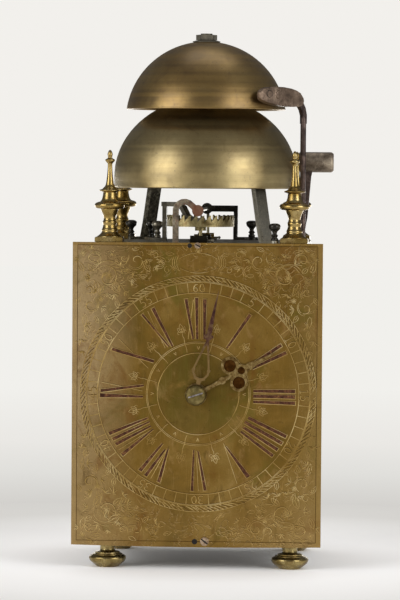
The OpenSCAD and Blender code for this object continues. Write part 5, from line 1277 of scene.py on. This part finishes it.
# the photograph's point of view, in mm and degrees
photo = dict(distance=2400, turn=3.0, height=284, aimHeight=189.5, roll=0.43,
             aimX=0.4, frameHeight=420, dialY=-72, sensor=24)
farthest = 30  # metres that the camera sees
cameraData = bpy.data.cameras.new("camera")
cameraData.sensor_fit = "VERTICAL"
cameraData.sensor_height = photo["sensor"]
cameraData.lens = photo["sensor"] * photo["distance"] / photo["frameHeight"]
cameraData.clip_end = farthest
camera = addObject("camera", cameraData)
swing = math.radians(photo["turn"])
aim = Vector((photo["aimX"], photo["dialY"], photo["aimHeight"])) * mm
eye = aim + Vector((math.sin(swing) * photo["distance"], -math.cos(swing) * photo["distance"],
                    photo["height"] - photo["aimHeight"])) * mm
look = (aim - eye).to_track_quat("-Z", "Y").to_matrix().to_4x4()
camera.matrix_world = (Matrix.Translation(eye) @ look
                       @ Matrix.Rotation(math.radians(photo["roll"]), 4, "Z"))
bpy.context.scene.camera = camera
bpy.context.scene.view_settings.view_transform = "Standard"


def softLamp(name, place, power, width, height):
    # an area lamp that looks at the clock's middle
    data = bpy.data.lights.new(name, "AREA")
    data.shape = "RECTANGLE"
    data.size = width
    data.size_y = height
    data.energy = power
    lamp = addObject(name, data)
    lamp.location = place
    lamp.rotation_euler = (Vector(lampAim) - Vector(place)).to_track_quat("-Z", "Y").to_euler()


# places and sizes in metres
lampAim = (0, 0, 0.18)
lamps = {
    "leftLamp": dict(place=(-1.6, -1.35, 0.85), power=20, width=1.3, height=1.5),
    "rightLamp": dict(place=(1.6, -1.35, 0.85), power=17, width=1.2, height=1.5),
    "topLamp": dict(place=(0.1, 0.5, 2.2), power=5, width=1.4, height=0.9),
    "backLamp": dict(place=(0.0, 0.9, 0.16), power=2, width=1.4, height=0.12),
}
for lampName, lampSettings in lamps.items():
    softLamp(lampName, **lampSettings)

# how bright the room looks from in front to behind, in reflections alone
roomLight = dict(ambient=0.7, seen=(242, 240, 236), sheen=((0.0, 0.21), (0.5, 0.17), (1.0, 0.1)))
room = bpy.data.worlds.new("room")
bpy.context.scene.world = room
room.use_nodes = True
roomTree = room.node_tree
roomTree.nodes.clear()
paths = addNode(roomTree, "ShaderNodeLightPath").outputs
direction = addNode(roomTree, "ShaderNodeSeparateXYZ", {
    "Vector": addNode(roomTree, "ShaderNodeTexCoord").outputs["Generated"]})
sheen = colourRamp(roomTree, spread(roomTree, direction.outputs[1], -1.0, 1.0), [
    (stop, (grey, grey, grey, 1)) for stop, grey in roomLight["sheen"]])
seen = mixColour(roomTree, paths["Is Camera Ray"], sheen, tone(*roomLight["seen"]))
direct = calc(roomTree, "MAXIMUM", paths["Is Camera Ray"], paths["Is Glossy Ray"])
ambient = (roomLight["ambient"],) * 3 + (1,)
glow = addNode(roomTree, "ShaderNodeBackground", {
    "Color": mixColour(roomTree, direct, ambient, seen), "Strength": 1.0})
addNode(roomTree, "ShaderNodeOutputWorld", {0: glow.outputs[0]})

# near and far are where the paper starts and ends to show its own plain colour
# the paper darkens in a ring about 0.3 to 0.45 m out, painted shade of a backdrop's bend, and grows
# lighter again further out
floorSettings = dict(size=7000, near=230, far=420, span=2.5, tones=[
    (0.06, (0.97, 0.96, 0.95, 1)), (0.13, tone(214, 212, 208)), (0.17, tone(211, 209, 205)),
    (0.28, tone(224, 223, 219)), (0.42, tone(234, 232, 228)), (0.75, tone(241, 240, 236))])
reach = floorSettings["size"]
floor = newPiece("floor", [(-reach, -reach, 0), (reach, -reach, 0), (reach, reach, 0),
                           (-reach, reach, 0)], [(0, 1, 2, 3)])
paper, tree, coords = newMaterial("paper")
away = addNode(tree, "ShaderNodeVectorMath", {0: coords}, operation="LENGTH").outputs["Value"]
colour = colourRamp(tree, spread(tree, away, 0.0, floorSettings["span"]), floorSettings["tones"])
paths = addNode(tree, "ShaderNodeLightPath").outputs
lit = addNode(tree, "ShaderNodeBsdfDiffuse", {"Color": colour})
plain = addNode(tree, "ShaderNodeEmission", {"Color": colour, "Strength": 1.0})
share = product(tree, calc(tree, "MAXIMUM", paths["Is Camera Ray"], paths["Is Glossy Ray"]),
                spread(tree, away, floorSettings["near"] * mm, floorSettings["far"] * mm))
shown = addNode(tree, "ShaderNodeMixShader", {0: share, 1: lit.outputs[0], 2: plain.outputs[0]})
addNode(tree, "ShaderNodeOutputMaterial", {"Surface": shown.outputs[0]})
floor.data.materials.append(paper)
print("camera, lamps and floor set")
